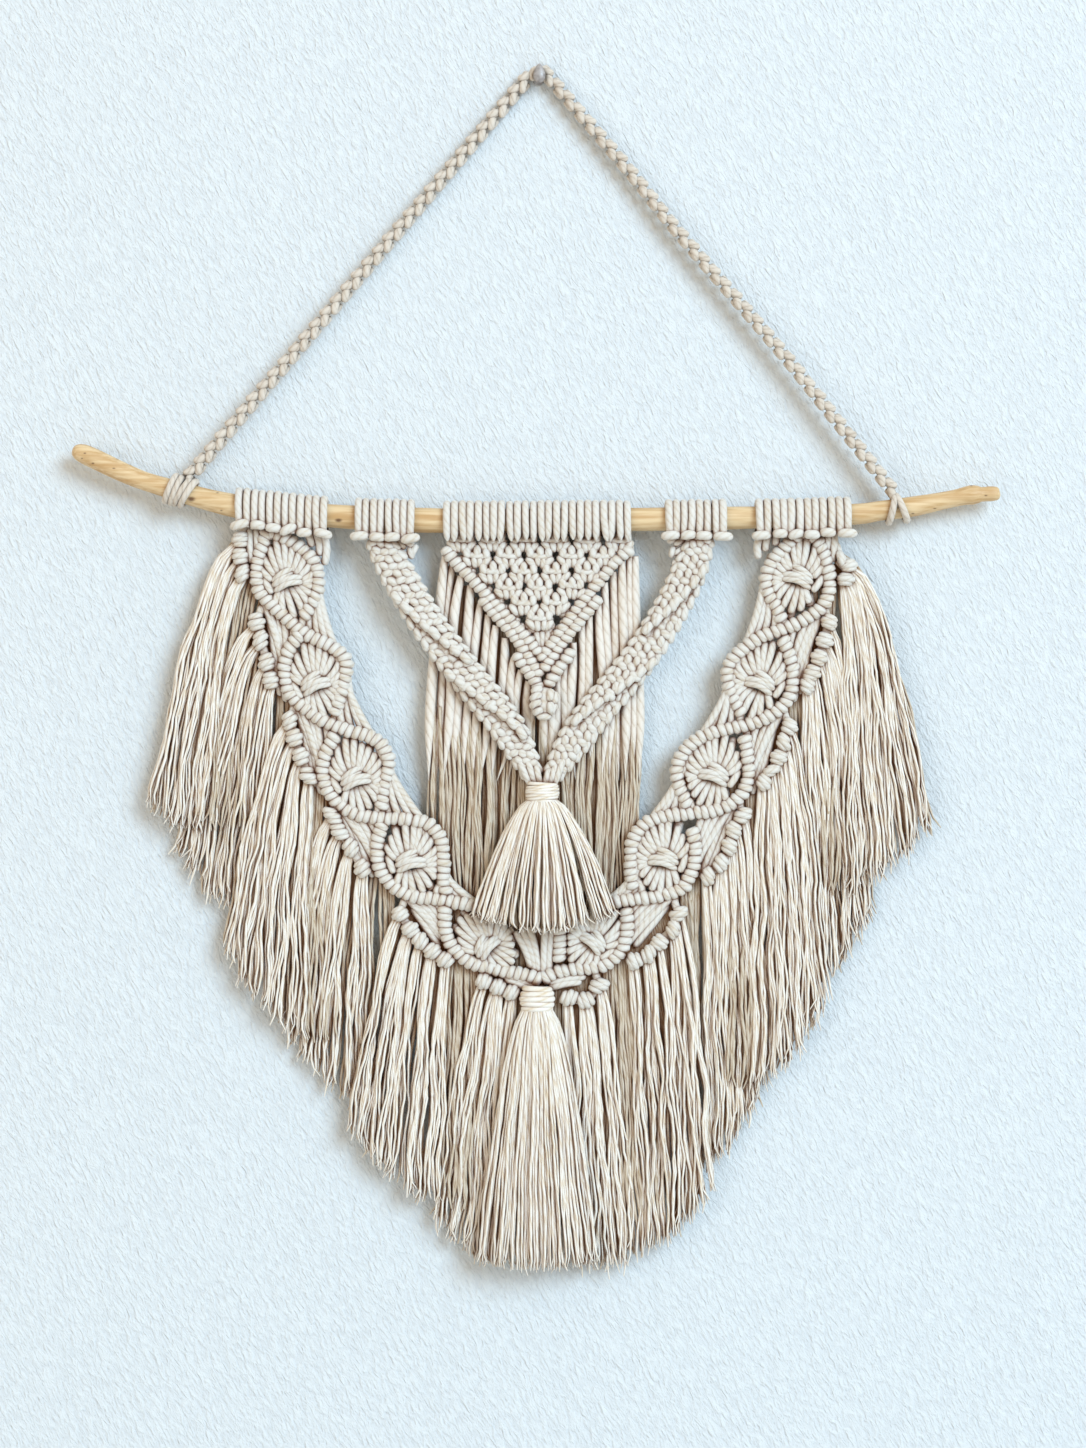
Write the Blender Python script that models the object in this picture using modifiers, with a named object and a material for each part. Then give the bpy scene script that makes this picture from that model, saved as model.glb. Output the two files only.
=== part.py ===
"""Macrame wall hanging, knotted in cotton cord on a peeled branch, with the wall hook that holds it.

+Z is up, the front faces -Y, and the wall is the plane Y = 0. The origin is the middle of the
hook's flat back. Every size and place below is in millimetres; MM turns it into metres.
"""

import math

import bmesh
import bpy
from mathutils import Matrix, Vector

MM = 0.001
PART_NAME = "macrame_wall_hanging"
WELD = 0.001
TINY = 1e-6
SHARP_ANGLE = math.radians(50)

# Sides of a tube, as the bevel resolution of its curve
SQUARE, SIX_SIDED, TEN_SIDED = 0, 1, 3

# Straight pieces between two given points of a smooth curve, before it is cut evenly
CURVE_PIECES = 12

# Share of the faces that are kept where strands are fused
KEEP_KNOTTED, KEEP_HANGER, KEEP_FRINGE = 0.57, 0.85, 0.68

# Depths of the layers in front of the wall
ROD_Y = -14.5
BAR_Y = -17.0
CORD_Y = -15.0
NET_Y = -16.0

# ---- Branch rod: centre line and diameter, a row for each change
ROD_ROWS = (  # x, z, diameter
    (-302.6, -243.2, 5.0),
    (-300.6, -243.9, 10.0),
    (-295.4, -245.7, 12.7),
    (-266.0, -259.4, 12.4),
    (-245.0, -266.7, 12.7),
    (-196.5, -279.5, 15.0),
    (-137.0, -285.8, 15.6),
    (-62.0, -289.0, 15.9),
    (60.0, -288.3, 15.5),
    (140.5, -287.0, 14.3),
    (203.0, -285.0, 13.7),
    (221.5, -282.7, 13.0),
    (243.5, -279.8, 12.7),
    (269.0, -274.8, 11.0),
    (281.0, -272.4, 12.8),
    (287.5, -271.6, 10.2),
    (297.0, -271.4, 8.6),
    (300.0, -271.2, 5.0),
)

# ---- Wall hook: a round back plate, a stem and a teardrop head
HOOK_PLATE_R, HOOK_PLATE_T, HOOK_PLATE_SIDES = 4.0, 1.5, 16
HOOK_STEM_R, HOOK_STEM_Z = 1.6, 1.5
HOOK_HEAD_CENTRE = (0.5, -12.4, 2.3)
HOOK_HEAD_HALF, HOOK_HEAD_NARROWING = (4.1, 2.2, 6.2), 0.3
HOOK_HEAD_SIDES, HOOK_HEAD_ROWS = 12, 8

# ---- Hanger: a knotted cord over the hook's stem, tied on to the rod at both ends
HANGER_R, HANGER_VALLEY, HANGER_STEP = 4.3, 0.62, 5.5
HANGER_TOP_R, HANGER_TOP_Y, HANGER_TOP_GAP = 2.7, -6.4, 0.75
HANGER_TOP_ANGLES = (150, 120, 90, 60, 30)
HANGER_LEFT = ((-228.5, -260.5),)
HANGER_RIGHT = ((58.2, -59.2), (91.3, -100.8), (153.7, -173.6), (195.3, -225.6), (231.5, -271.5))
HANGER_TIES = (  # from x, to x, turns round the rod
    (-240.0, -221.5, 4),
    (224.5, 240.0, 3),
)

# ---- Lark's heads: each pair of cords over the rod is one ridge of a sleeve round it
SLEEVE_CLEARANCE, SLEEVE_THICKNESS, SLEEVE_VALLEY = 0.6, 4.4, 0.8
SLEEVE_STEPS = 8
BUNDLES = {  # from x, to x, lark's heads
    "band_left": (-196.5, -137.0, 6),
    "sinnet_left": (-119.0, -80.5, 4),
    "panel_centre": (-62.0, 60.0, 14),
    "sinnet_right": (82.0, 122.0, 4),
    "band_right": (140.5, 203.0, 6),
}

# ---- Side bands: five linked rings outlined by bars of double half hitches
BAR_R, BAR_VALLEY, BAR_STEP = 4.5, 0.76, 5.2
TIE_R, TIE_LENGTH, TIE_RISE, TIE_LIFT = 4.8, 17.0, 5.0, 1.0
TIE_PROFILE = ((-0.5, 0.5), (-0.25, 1.0), (0.25, 1.0), (0.5, 0.5))  # share of length, of radius
SPOKE_R, SPOKES = 2.2, 8
SPOKE_PROFILE = ((0.16, 0.12, 0.8), (1.0, 1.0, 1.4))  # share of width, of height, of radius
FLOAT_R = 2.1
BARS = {  # each bar runs down the outer side of a ring, under it, and on round the next one
    "band_left": (
        ((-173, -296), (-165, -299), (-156, -306), (-149, -312), (-144, -320), (-143, -332),
         (-147, -343), (-152, -350)),
        ((-178, -296), (-181, -310), (-183, -323), (-181, -335), (-173, -344), (-161, -355),
         (-149, -364), (-136, -370), (-126, -378), (-125, -388), (-128, -400), (-132, -413)),
        ((-156, -364), (-163, -375), (-165, -388), (-161, -402), (-151, -411), (-138, -420),
         (-122, -426), (-110, -429), (-101, -436), (-97, -447), (-100, -460), (-102, -474)),
        ((-133, -430), (-139, -442), (-140, -455), (-135, -467), (-122, -478), (-106, -482),
         (-87, -483), (-72, -486), (-64, -495), (-62, -507), (-62, -519), (-59, -530)),
        ((-102, -487), (-105, -500), (-103, -515), (-95, -526), (-81, -533), (-64, -535),
         (-48, -539)),
        ((-61, -542), (-60, -557), (-54, -568), (-44, -576), (-30, -580), (-14, -583),
         (-0.5, -586.5)),
    ),
    "band_right": (
        ((168, -298), (163, -304), (154, -313), (148, -324), (149, -335), (154, -344), (157, -352)),
        ((181, -298), (184, -305), (187, -316), (189, -330), (185, -344), (173, -353),
         (160, -359), (146, -364), (131, -374), (123, -385), (124, -398), (131, -413)),
        ((159, -367), (164, -381), (165, -395), (160, -408), (148, -417), (134, -422),
         (116, -426), (102, -432), (92, -443), (90, -456), (96, -473)),
        ((134, -431), (136, -444), (136, -457), (130, -469), (118, -476), (101, -479),
         (82, -481), (68, -487), (61, -498), (60, -511), (61, -526)),
        ((100, -491), (102, -503), (100, -516), (92, -528), (77, -533), (60, -535), (42, -538)),
        ((57, -543), (57, -557), (53, -569), (42, -578), (26, -580), (12, -582.5), (4.2, -586)),
    ),
}
RINGS = {  # centre x, centre z, half width, half height of the cords gathered in each ring
    "band_left": (
        (-163.5, -327.5, 20.0, 27.0),
        (-145.0, -394.5, 20.0, 26.0),
        (-119.0, -456.5, 21.0, 25.0),
        (-83.0, -510.0, 21.0, 25.0),
        (-31.5, -561.0, 25.0, 20.0),
    ),
    "band_right": (
        (168.5, -325.5, 19.0, 28.0),
        (144.0, -394.0, 20.0, 26.0),
        (114.0, -453.5, 21.0, 25.0),
        (81.0, -508.5, 20.0, 25.0),
        (36.0, -561.0, 21.0, 19.0),
    ),
}
FLOATS = (  # from bar, from share, to share; to bar, from share, to share; cords
    (0, 0.60, 0.95, 1, 0.64, 0.52, 3),
    (1, 0.72, 0.95, 2, 0.66, 0.52, 3),
    (2, 0.74, 0.95, 3, 0.66, 0.52, 3),
    (3, 0.72, 0.92, 4, 0.98, 0.80, 3),
    (1, 0.34, 0.44, 2, 0.22, 0.06, 2),
    (2, 0.32, 0.42, 3, 0.20, 0.06, 2),
    (3, 0.30, 0.40, 4, 0.36, 0.12, 2),
    (4, 0.48, 0.64, 5, 0.30, 0.08, 2),
)
FLOAT_BOW = 2.5

# ---- Centre panel: rows of square knots over three V-shaped bars and a berry bead
NET_ROWS, NET_TOP_Z = 5, -304.0
NET_PITCH_X, NET_PITCH_Z, NET_CENTRE_X = 23.6, 13.4, 0.8
KNOT_R, KNOT_HEIGHT = 5.6, 9.6
KNOT_PROFILE = ((0.5, 0.5), (0.25, 1.0), (-0.25, 1.0), (-0.5, 0.5))  # share of height, of radius
LEG_R, LEG_SPREAD, LEG_TOP_Z = 2.2, 1.6, -300.0
V_BAR_R = 4.0
V_BARS = (  # left end, tip, right end
    ((-60, -307), (1.5, -377.5), (58, -307)),
    ((-36, -340), (2.0, -388.5), (38, -339)),
    ((-14, -377), (3.0, -397.0), (20, -376)),
)
V_FILL_SHARES, V_FILL_OVERLAP = (0.62, 0.74, 0.86), 4.0
BEAD_CENTRE, BEAD_HALF, BEAD_SIDES, BEAD_ROWS = (3.5, -406.5), (9.0, 5.0, 9.4), 8, 6

# ---- Centre fringe: a curtain of locks that hangs behind everything
CURTAIN_STRIP_Y, CURTAIN_Y = -10.8, -5.6
CURTAIN_STRIP_R, CURTAIN_LOCK_R, CURTAIN_FLATNESS, CURTAIN_LOCKS = 2.3, 2.9, 0.72, 22
CURTAIN_TOP = ((-63, -320), (-38, -349), (-16, -384), (3, -401), (22, -383), (39, -348), (62, -319))
CURTAIN_STRIP_STEP = 9.0
CURTAIN_HALF_WIDTH, CURTAIN_MIDDLE_X = 68.5, -3.5
CURTAIN_ROOT_R, CURTAIN_DROP, CURTAIN_DROP_SPREAD, CURTAIN_WIDEST_Z = 0.8, 30.0, 0.45, -465.0
CURTAIN_GATHER, CURTAIN_BOTTOM_Z, CURTAIN_CORNER_RISE = 0.82, -717.0, 14.0

# ---- Sinnets: woven bands that twist once or twice on the way to the upper tassel
SINNET_HALF_WIDTH, SINNET_HALF_THICKNESS, SINNET_Y = 10.0, 3.4, -18.5
SINNET_STEP, SINNET_VALLEY, SINNET_PINCH, SINNET_TWISTS = 9.6, 0.86, 0.3, (0.36, 0.68)
SINNET_TAPER, SINNET_TAPER_FROM = 0.45, 0.8
SINNET_TWIST_LENGTH, SINNET_TWIST_SWELL = 0.07, 0.35
SINNET_SECTION = ((1, 0), (0.55, 1), (-0.55, 1), (-1, 0), (-0.55, -1), (0.55, -1))  # across, front
SINNETS = {
    "sinnet_left": ((-100, -299.5), (-98, -309), (-93, -323), (-76, -354), (-57, -377), (-38, -399),
                    (-22, -422), (-11, -441), (-5, -457.3)),
    "sinnet_right": ((103, -299), (102, -308), (98, -322), (87, -345), (73, -370), (53, -394),
                     (36, -414), (21, -435), (9.5, -456.5)),
}

# ---- Tassels: a wrapped head over a skirt of locks
TASSELS = {  # middle x, top z, head half width, head height; skirt half width, side z, middle z
    "tassel_upper": (2.5, -458.4, 10.5, 13.5, 43.0, -541.0, -553.0),
    "tassel_lower": (-0.5, -590.4, 11.2, 17.5, 37.0, -768.0, -775.0),
}
TASSEL_DEPTHS = {  # head y, head flatness; skirt's back and front y
    "tassel_upper": (-22.6, 0.78, -25.6, -33.0),
    "tassel_lower": (-19.6, 0.70, -17.2, -23.4),
}
WRAP_TURNS, WRAP_VALLEY = 4, 0.93
SKIRT_LAYERS, SKIRT_LOCK_FILL = ((8, 0.9), (9, 1.0)), 0.46  # locks, share of the half width
SKIRT_PROFILE = (  # shares of head half width, skirt half width, depth; drop; shares of fall, radius
    (0.60, 0.00, 0.3, -3.0, 0.0, 0.40),
    (0.75, 0.14, 0.7, 8.0, 0.0, 0.42),
    (0.00, 0.82, 1.0, 0.0, 0.5, 0.85),
    (0.00, 1.00, 1.0, 0.0, 1.0, 1.00),
)

# ---- Side fringes: a short chain of knots with its own locks, under each ring
CHAIN_R, CHAIN_VALLEY, CHAIN_STEP = 4.0, 0.68, 9.4
LOCKS_PER_FRINGE, LOCK_FILL, LOCK_TIP = 8, 0.47, 0.6
LOCK_HALF_DEPTH = 2.4
LOCK_FALLS = (0.0, 0.1, 0.42, 1.0)
LOCK_SPREAD = 0.58  # a lock leaves its knot sideways and then hangs
LOCK_ROOT_MARGIN = 0.04
CHAIN_Y = -15.5
FRONT_Y, BACK_Y, INNER_BACK_Y = -15.5, -9.8, -11.6
FRINGES = (  # name, depth of the locks, chain, outer tip, inner tip
    ("fringe_left_1", FRONT_Y, ((-190.8, -302), (-190.3, -313), (-189.8, -323)),
     (-253, -476), (-216, -487)),
    ("fringe_left_2", BACK_Y, ((-181.1, -355), (-178.6, -367), (-175.1, -381), (-172.6, -390)),
     (-236, -503), (-182, -551)),
    ("fringe_left_3", FRONT_Y, ((-162, -419), (-158, -431), (-153, -444), (-149.5, -455)),
     (-205, -564), (-151, -625)),
    ("fringe_left_4", BACK_Y, ((-133.9, -480), (-128.9, -491), (-122.9, -501), (-115.9, -511)),
     (-174, -605), (-113, -672)),
    ("fringe_left_5", FRONT_Y, ((-88, -543.5), (-81, -553.5), (-74, -561.5), (-65, -569.5)),
     (-123, -681), (-62, -733)),
    ("fringe_left_6", INNER_BACK_Y, ((-36.5, -586.2), (-26.5, -588.2), (-16.5, -590.7)),
     (-68, -742), (-20, -771)),
    ("fringe_right_1", FRONT_Y, ((193.6, -309), (196.6, -317), (196.1, -326)),
     (253, -490), (199, -530)),
    ("fringe_right_2", BACK_Y, ((188.6, -355), (184.6, -367), (180.6, -379), (176.6, -391)),
     (218, -541), (174, -600)),
    ("fringe_right_3", FRONT_Y, ((160.4, -421), (156.4, -432), (152.4, -443), (146.4, -454)),
     (186, -600), (142, -655)),
    ("fringe_right_4", BACK_Y, ((132.3, -480), (126.3, -490), (120.3, -501), (112.3, -512)),
     (149, -646), (107, -711)),
    ("fringe_right_5", FRONT_Y, ((86.5, -542.5), (79.5, -553.5), (71.5, -561.5), (62.5, -568.5)),
     (111, -721), (66, -763)),
    ("fringe_right_6", INNER_BACK_Y, ((41, -586.4), (30, -588.9), (18, -590.9)),
     (62, -767), (16, -771)),
)


# ---------------------------------------------------------------- shared steps


def clear_scene():
    for thing in list(bpy.data.objects):
        bpy.data.objects.remove(thing)


def new_collection(name, hidden=False):
    collection = bpy.data.collections.new(name)
    bpy.context.scene.collection.children.link(collection)
    collection.hide_render = hidden
    return collection


def new_material(name, colour, roughness):
    material = bpy.data.materials.new(name)
    material.use_nodes = True
    shader = material.node_tree.nodes["Principled BSDF"]
    shader.inputs["Base Color"].default_value = (*colour, 1.0)
    shader.inputs["Roughness"].default_value = roughness
    shader.inputs["Metallic"].default_value = 0.0
    material.diffuse_color = (*colour, 1.0)
    return material


def evaluated_mesh(thing):
    graph = bpy.context.evaluated_depsgraph_get()
    return bpy.data.meshes.new_from_object(thing.evaluated_get(graph))


def tidied(mesh, matrix=None):
    """Welds a curve's caps to its sides, places the mesh, and turns its faces outwards."""
    work = bmesh.new()
    work.from_mesh(mesh)
    bmesh.ops.remove_doubles(work, verts=work.verts, dist=WELD * MM)
    if matrix is not None:
        bmesh.ops.transform(work, matrix=matrix, verts=work.verts)
    bmesh.ops.recalc_face_normals(work, faces=work.faces)
    work.to_mesh(mesh)
    work.free()
    return mesh


def tubes(routes, radius, sides=SQUARE):
    """One mesh of tubes along routes, each a list of (place, share of the radius)."""
    curve = bpy.data.curves.new("route", "CURVE")
    curve.dimensions = "3D"
    curve.bevel_depth = radius * MM
    curve.bevel_resolution = sides
    curve.use_fill_caps = True
    for route in routes:
        spline = curve.splines.new("POLY")
        spline.points.add(len(route) - 1)
        for point, (place, share) in zip(spline.points, route):
            point.co = (*(Vector(place) * MM), 1.0)
            point.radius = share
    guide = bpy.data.objects.new("route", curve)
    guides.objects.link(guide)
    mesh = evaluated_mesh(guide)
    bpy.data.objects.remove(guide)
    return tidied(mesh)


def flattened(mesh, y, share):
    """Draws a mesh in towards the plane at depth y."""
    towards = Matrix.Translation((0, y * MM, 0)) @ Matrix.Diagonal((1, share, 1, 1))
    return tidied(mesh, towards @ Matrix.Translation((0, -y * MM, 0)))


def joined(meshes):
    work = bmesh.new()
    for mesh in meshes:
        work.from_mesh(mesh)
    whole = bpy.data.meshes.new("joined")
    work.to_mesh(whole)
    work.free()
    return whole


def add_part(name, mesh, material):
    mesh.materials.clear()
    mesh.materials.append(material)
    mesh.shade_smooth()
    mesh.set_sharp_from_angle(angle=SHARP_ANGLE)
    mesh.name = name
    thing = bpy.data.objects.new(name, mesh)
    parts.objects.link(thing)
    return thing


def add_fused(name, backing, others, material, keep=1.0):
    """One solid of a backing and all that is rooted in it, thinned to a share of its faces."""
    whole = bpy.data.objects.new(name + "_backing", backing)
    roots = bpy.data.objects.new(name + "_roots", joined(others))
    for thing in (whole, roots):
        guides.objects.link(thing)
        thing.hide_render = True
        thing.display_type = "WIRE"
    union = whole.modifiers.new("fuse", "BOOLEAN")
    union.operation = "UNION"
    union.solver = "EXACT"
    union.use_self = True
    union.object = roots
    if keep < 1.0:
        thinned = whole.modifiers.new("thin", "DECIMATE")
        thinned.ratio = keep
    mesh = evaluated_mesh(whole)
    bpy.data.objects.remove(whole)
    bpy.data.objects.remove(roots)
    return add_part(name, mesh, material)


def curve_through(points, step):
    """Evenly spaced places on a smooth curve through the points."""
    knots = [Vector(point) for point in points]
    knots = [2 * knots[0] - knots[1], *knots, 2 * knots[-1] - knots[-2]]
    fine = []
    for a, b, c, d in zip(knots, knots[1:], knots[2:], knots[3:]):
        for i in range(CURVE_PIECES):
            t = i / CURVE_PIECES
            fine.append(
                0.5 * (2 * b + (c - a) * t + (2 * a - 5 * b + 4 * c - d) * t**2
                       + (3 * b - a - 3 * c + d) * t**3)
            )
    fine.append(knots[-2])
    return evenly(fine, step)


def evenly(line, step):
    """Places about a step apart on a line of straight pieces, from its start to its end."""
    lengths = [0.0]
    for a, b in zip(line, line[1:]):
        lengths.append(lengths[-1] + (b - a).length)
    count = max(2, round(lengths[-1] / step) + 1)
    return [place_at(line, lengths, lengths[-1] * i / (count - 1)) for i in range(count)]


def place_at(line, lengths, wanted):
    """The place at a wanted length along a line, given the length up to each of its points."""
    for i in range(1, len(line)):
        if lengths[i] >= wanted - TINY:
            share = (wanted - lengths[i - 1]) / max(lengths[i] - lengths[i - 1], TINY)
            return line[i - 1].lerp(line[i], share)
    return line[-1]


def at_depth(points, y):
    return [(x, y, z) for x, z in points]


def ridged(points, valley):
    """A route whose radius swells at every second place, as over a row of knots."""
    return [(point, 1.0 if i % 2 else valley) for i, point in enumerate(points)]


def along(points, share):
    """The place at a share of the way along evenly spaced points."""
    where = share * (len(points) - 1)
    i = min(int(where), len(points) - 2)
    return points[i].lerp(points[i + 1], where - i)


# ---------------------------------------------------------------- rod and hook


def rod_at(x):
    """The rod's centre height and radius at x."""
    for (x0, z0, d0), (x1, z1, d1) in zip(ROD_ROWS, ROD_ROWS[1:]):
        if x <= x1:
            share = (x - x0) / (x1 - x0)
            return z0 + (z1 - z0) * share, (d0 + (d1 - d0) * share) / 2
    return ROD_ROWS[-1][1], ROD_ROWS[-1][2] / 2


def make_rod(material):
    """The branch as one bent tube, whose diameter changes along it."""
    widest = max(diameter for _, _, diameter in ROD_ROWS) / 2
    route = [((x, ROD_Y, z), diameter / 2 / widest) for x, z, diameter in ROD_ROWS]
    add_part("rod", tubes([route], widest, TEN_SIDED), material)


def make_hook(material):
    """A plate flat on the wall, a stem that the cord lies over, and a head in front of the cord."""
    plate = bpy.data.meshes.new("plate")
    work = bmesh.new()
    bmesh.ops.create_cone(work, cap_ends=True, segments=HOOK_PLATE_SIDES, radius1=HOOK_PLATE_R * MM,
                          radius2=HOOK_PLATE_R * MM, depth=HOOK_PLATE_T * MM)
    work.to_mesh(plate)
    work.free()
    upright = Matrix.Rotation(math.radians(90), 4, "X")
    tidied(plate, Matrix.Translation((0, -HOOK_PLATE_T / 2 * MM, 0)) @ upright)
    stem_ends = ((0, -HOOK_PLATE_T / 2, HOOK_STEM_Z), (0, HOOK_HEAD_CENTRE[1], HOOK_STEM_Z))
    stem = tubes([[(end, 1.0) for end in stem_ends]], HOOK_STEM_R, SIX_SIDED)
    head = bpy.data.meshes.new("head")
    work = bmesh.new()
    bmesh.ops.create_uvsphere(
        work, u_segments=HOOK_HEAD_SIDES, v_segments=HOOK_HEAD_ROWS, radius=MM
    )
    for vert in work.verts:
        narrowing = 1.0 - HOOK_HEAD_NARROWING * max(0.0, vert.co.z / MM)
        vert.co.x *= HOOK_HEAD_HALF[0] * narrowing
        vert.co.y *= HOOK_HEAD_HALF[1] * narrowing
        vert.co.z *= HOOK_HEAD_HALF[2]
    work.to_mesh(head)
    work.free()
    tidied(head, Matrix.Translation(Vector(HOOK_HEAD_CENTRE) * MM))
    add_fused("hook", plate, [stem, head], material)


# ---------------------------------------------------------------- sleeves round the rod


def sleeve(x0, x1, ridges):
    """A ridged sleeve round the rod: a closed profile turned about the rod's own line."""
    z0, r0 = rod_at(x0)
    z1, r1 = rod_at(x1)
    length = math.hypot(x1 - x0, z1 - z0)
    inner = (max(r0, r1) + SLEEVE_CLEARANCE) / math.cos(math.pi / SLEEVE_STEPS)
    outer = max(r0, r1) + SLEEVE_CLEARANCE + SLEEVE_THICKNESS
    profile = [(0.0, inner)]
    for i in range(2 * ridges + 1):
        valley = i % 2 == 0
        profile.append((length * i / (2 * ridges), outer - (SLEEVE_VALLEY if valley else 0.0)))
    profile.append((length, inner))
    mesh = bpy.data.meshes.new("sleeve")
    corners = [(x * MM, 0.0, r * MM) for x, r in profile]
    mesh.from_pydata(corners, [(i, (i + 1) % len(corners)) for i in range(len(corners))], [])
    turned = bpy.data.objects.new("sleeve", mesh)
    guides.objects.link(turned)
    screw = turned.modifiers.new("turn", "SCREW")
    screw.axis = "X"
    screw.steps = screw.render_steps = SLEEVE_STEPS
    screw.use_merge_vertices = True
    screw.merge_threshold = WELD * MM
    solid = evaluated_mesh(turned)
    bpy.data.objects.remove(turned)
    lean = Matrix.Rotation(-math.atan2(z1 - z0, x1 - x0), 4, "Y")
    return tidied(solid, Matrix.Translation((x0 * MM, ROD_Y * MM, z0 * MM)) @ lean)


# ---------------------------------------------------------------- hanger


def make_hanger(material):
    """One knotted cord that runs up from its left tie, over the hook's stem, and down to the right one."""
    bend = HOOK_STEM_R + HANGER_TOP_GAP + HANGER_TOP_R
    over = []
    for angle in HANGER_TOP_ANGLES:
        x, z = bend * math.cos(math.radians(angle)), bend * math.sin(math.radians(angle))
        over.append(Vector((x, HANGER_TOP_Y, HOOK_STEM_Z + z)))
    left = knotted_leg(HANGER_LEFT, over[0])
    right = knotted_leg(HANGER_RIGHT, over[-1])
    route = left[::-1] + [(place, HANGER_TOP_R / HANGER_R) for place in over] + right
    cord = tubes([route], HANGER_R)
    ties = [sleeve(*row) for row in HANGER_TIES]
    add_fused("hanger", cord, ties, material, KEEP_HANGER)


def knotted_leg(stops, start):
    """The leg's route, which moves out from the wall evenly with its height, down to the rod."""
    line = [start]
    for x, z in stops:
        share = (start.z - z) / (start.z - stops[-1][1])
        line.append(Vector((x, HANGER_TOP_Y + (ROD_Y - HANGER_TOP_Y) * share, z)))
    places = evenly(line, HANGER_STEP)[1:]
    return ridged(places, HANGER_VALLEY)[1:]


# ---------------------------------------------------------------- side bands


def make_band(name, mirror, material):
    """mirror is 1 where the middle of the whole piece lies to the band's right, else -1."""
    x0, x1, heads = BUNDLES[name]
    bars = [curve_through(at_depth(points, BAR_Y), BAR_STEP) for points in BARS[name]]
    pieces = [tubes([ridged(bar, BAR_VALLEY) for bar in bars], BAR_R)]
    for ring in RINGS[name]:
        pieces += ring_filling(ring, mirror)
    routes = []
    for from_bar, f0, f1, to_bar, t0, t1, count in FLOATS:
        for i in range(count):
            share = i / (count - 1)
            start = along(bars[from_bar], f0 + (f1 - f0) * share)
            end = along(bars[to_bar], t0 + (t1 - t0) * share)
            routes.append(float_route(start, end))
    pieces.append(tubes(routes, FLOAT_R))
    add_fused(name, sleeve(x0, x1, heads), pieces, material, KEEP_KNOTTED)


def ring_filling(ring, mirror):
    """The tie in the middle of a ring, and the cords that fan from it to the bars."""
    x, z, half_width, half_height = ring
    tie = []
    for along_tie, swell in TIE_PROFILE:
        place = (x + TIE_LENGTH * along_tie * mirror, CORD_Y - TIE_LIFT * swell, z + TIE_RISE * along_tie)
        tie.append((place, swell))
    spokes = []
    for i in range(SPOKES):
        angle = 2 * math.pi * (i + 0.5) / SPOKES
        spoke = []
        for wide, high, swell in SPOKE_PROFILE:
            end_x, end_z = half_width * wide * math.cos(angle), half_height * high * math.sin(angle)
            spoke.append(((x + end_x, CORD_Y, z + end_z), swell))
        spokes.append(spoke)
    return [tubes([tie], TIE_R), tubes(spokes, SPOKE_R)]


def float_route(start, end):
    """A cord that leaves one bar, bows away from the ring and runs in under the next bar."""
    middle = (start + end) / 2
    outward = Vector((end.z - start.z, 0, start.x - end.x)).normalized()
    side = 1 if outward.x * (end.x - start.x) <= 0 else -1
    middle += outward * side * FLOAT_BOW
    return [((p.x, CORD_Y, p.z), 1.0) for p in (start, middle, end)]


# ---------------------------------------------------------------- centre panel


def net_knots():
    """Rows of square knots, each a half pitch inside the row above."""
    for row in range(NET_ROWS):
        count = NET_ROWS - row
        for i in range(count):
            x = NET_CENTRE_X + (i - (count - 1) / 2) * NET_PITCH_X
            yield row, x, NET_TOP_Z - row * NET_PITCH_Z


def make_panel(material):
    """The net of square knots under its lark's heads, the V-shaped bars below, and the bead."""
    x0, x1, heads = BUNDLES["panel_centre"]
    knots, legs = [], []
    for row, x, z in net_knots():
        knots.append([((x, NET_Y, z + KNOT_HEIGHT * high), swell) for high, swell in KNOT_PROFILE])
        for side in (-1, 1):
            foot = (x + side * NET_PITCH_X / 2, NET_Y, z - NET_PITCH_Z)
            legs.append([((x + side * LEG_SPREAD, NET_Y, z), 1.0), (foot, 1.0)])
            if row == 0:
                head = (x + side * NET_PITCH_X / 4, NET_Y, LEG_TOP_Z)
                legs.append([((x + side * LEG_SPREAD, NET_Y, z), 1.0), (head, 1.0)])
    bars = []
    for left, tip, right in V_BARS:
        for end in (left, right):
            line = [Vector((end[0], BAR_Y, end[1])), Vector((tip[0], BAR_Y, tip[1]))]
            bars.append(ridged(evenly(line, BAR_STEP), BAR_VALLEY))
    for (left, tip, right), (_, low_tip, _) in zip(V_BARS, V_BARS[1:]):
        foot = low_tip[1] - tip[1] - V_FILL_OVERLAP
        for end in (left, right):
            for share in V_FILL_SHARES:
                x = end[0] + (tip[0] - end[0]) * share
                z = end[1] + (tip[1] - end[1]) * share
                legs.append([((x, NET_Y, z), 1.0), ((x, NET_Y, z + foot), 1.0)])
    bead = bpy.data.meshes.new("bead")
    work = bmesh.new()
    bmesh.ops.create_uvsphere(work, u_segments=BEAD_SIDES, v_segments=BEAD_ROWS, radius=MM)
    work.to_mesh(bead)
    work.free()
    place = Matrix.Translation(Vector((BEAD_CENTRE[0], BAR_Y, BEAD_CENTRE[1])) * MM)
    tidied(bead, place @ Matrix.Diagonal((*BEAD_HALF, 1.0)))
    pieces = [tubes(bars, V_BAR_R), tubes(knots, KNOT_R), tubes(legs, LEG_R), bead]
    add_fused("panel_centre", sleeve(x0, x1, heads), pieces, material, KEEP_KNOTTED)


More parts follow.
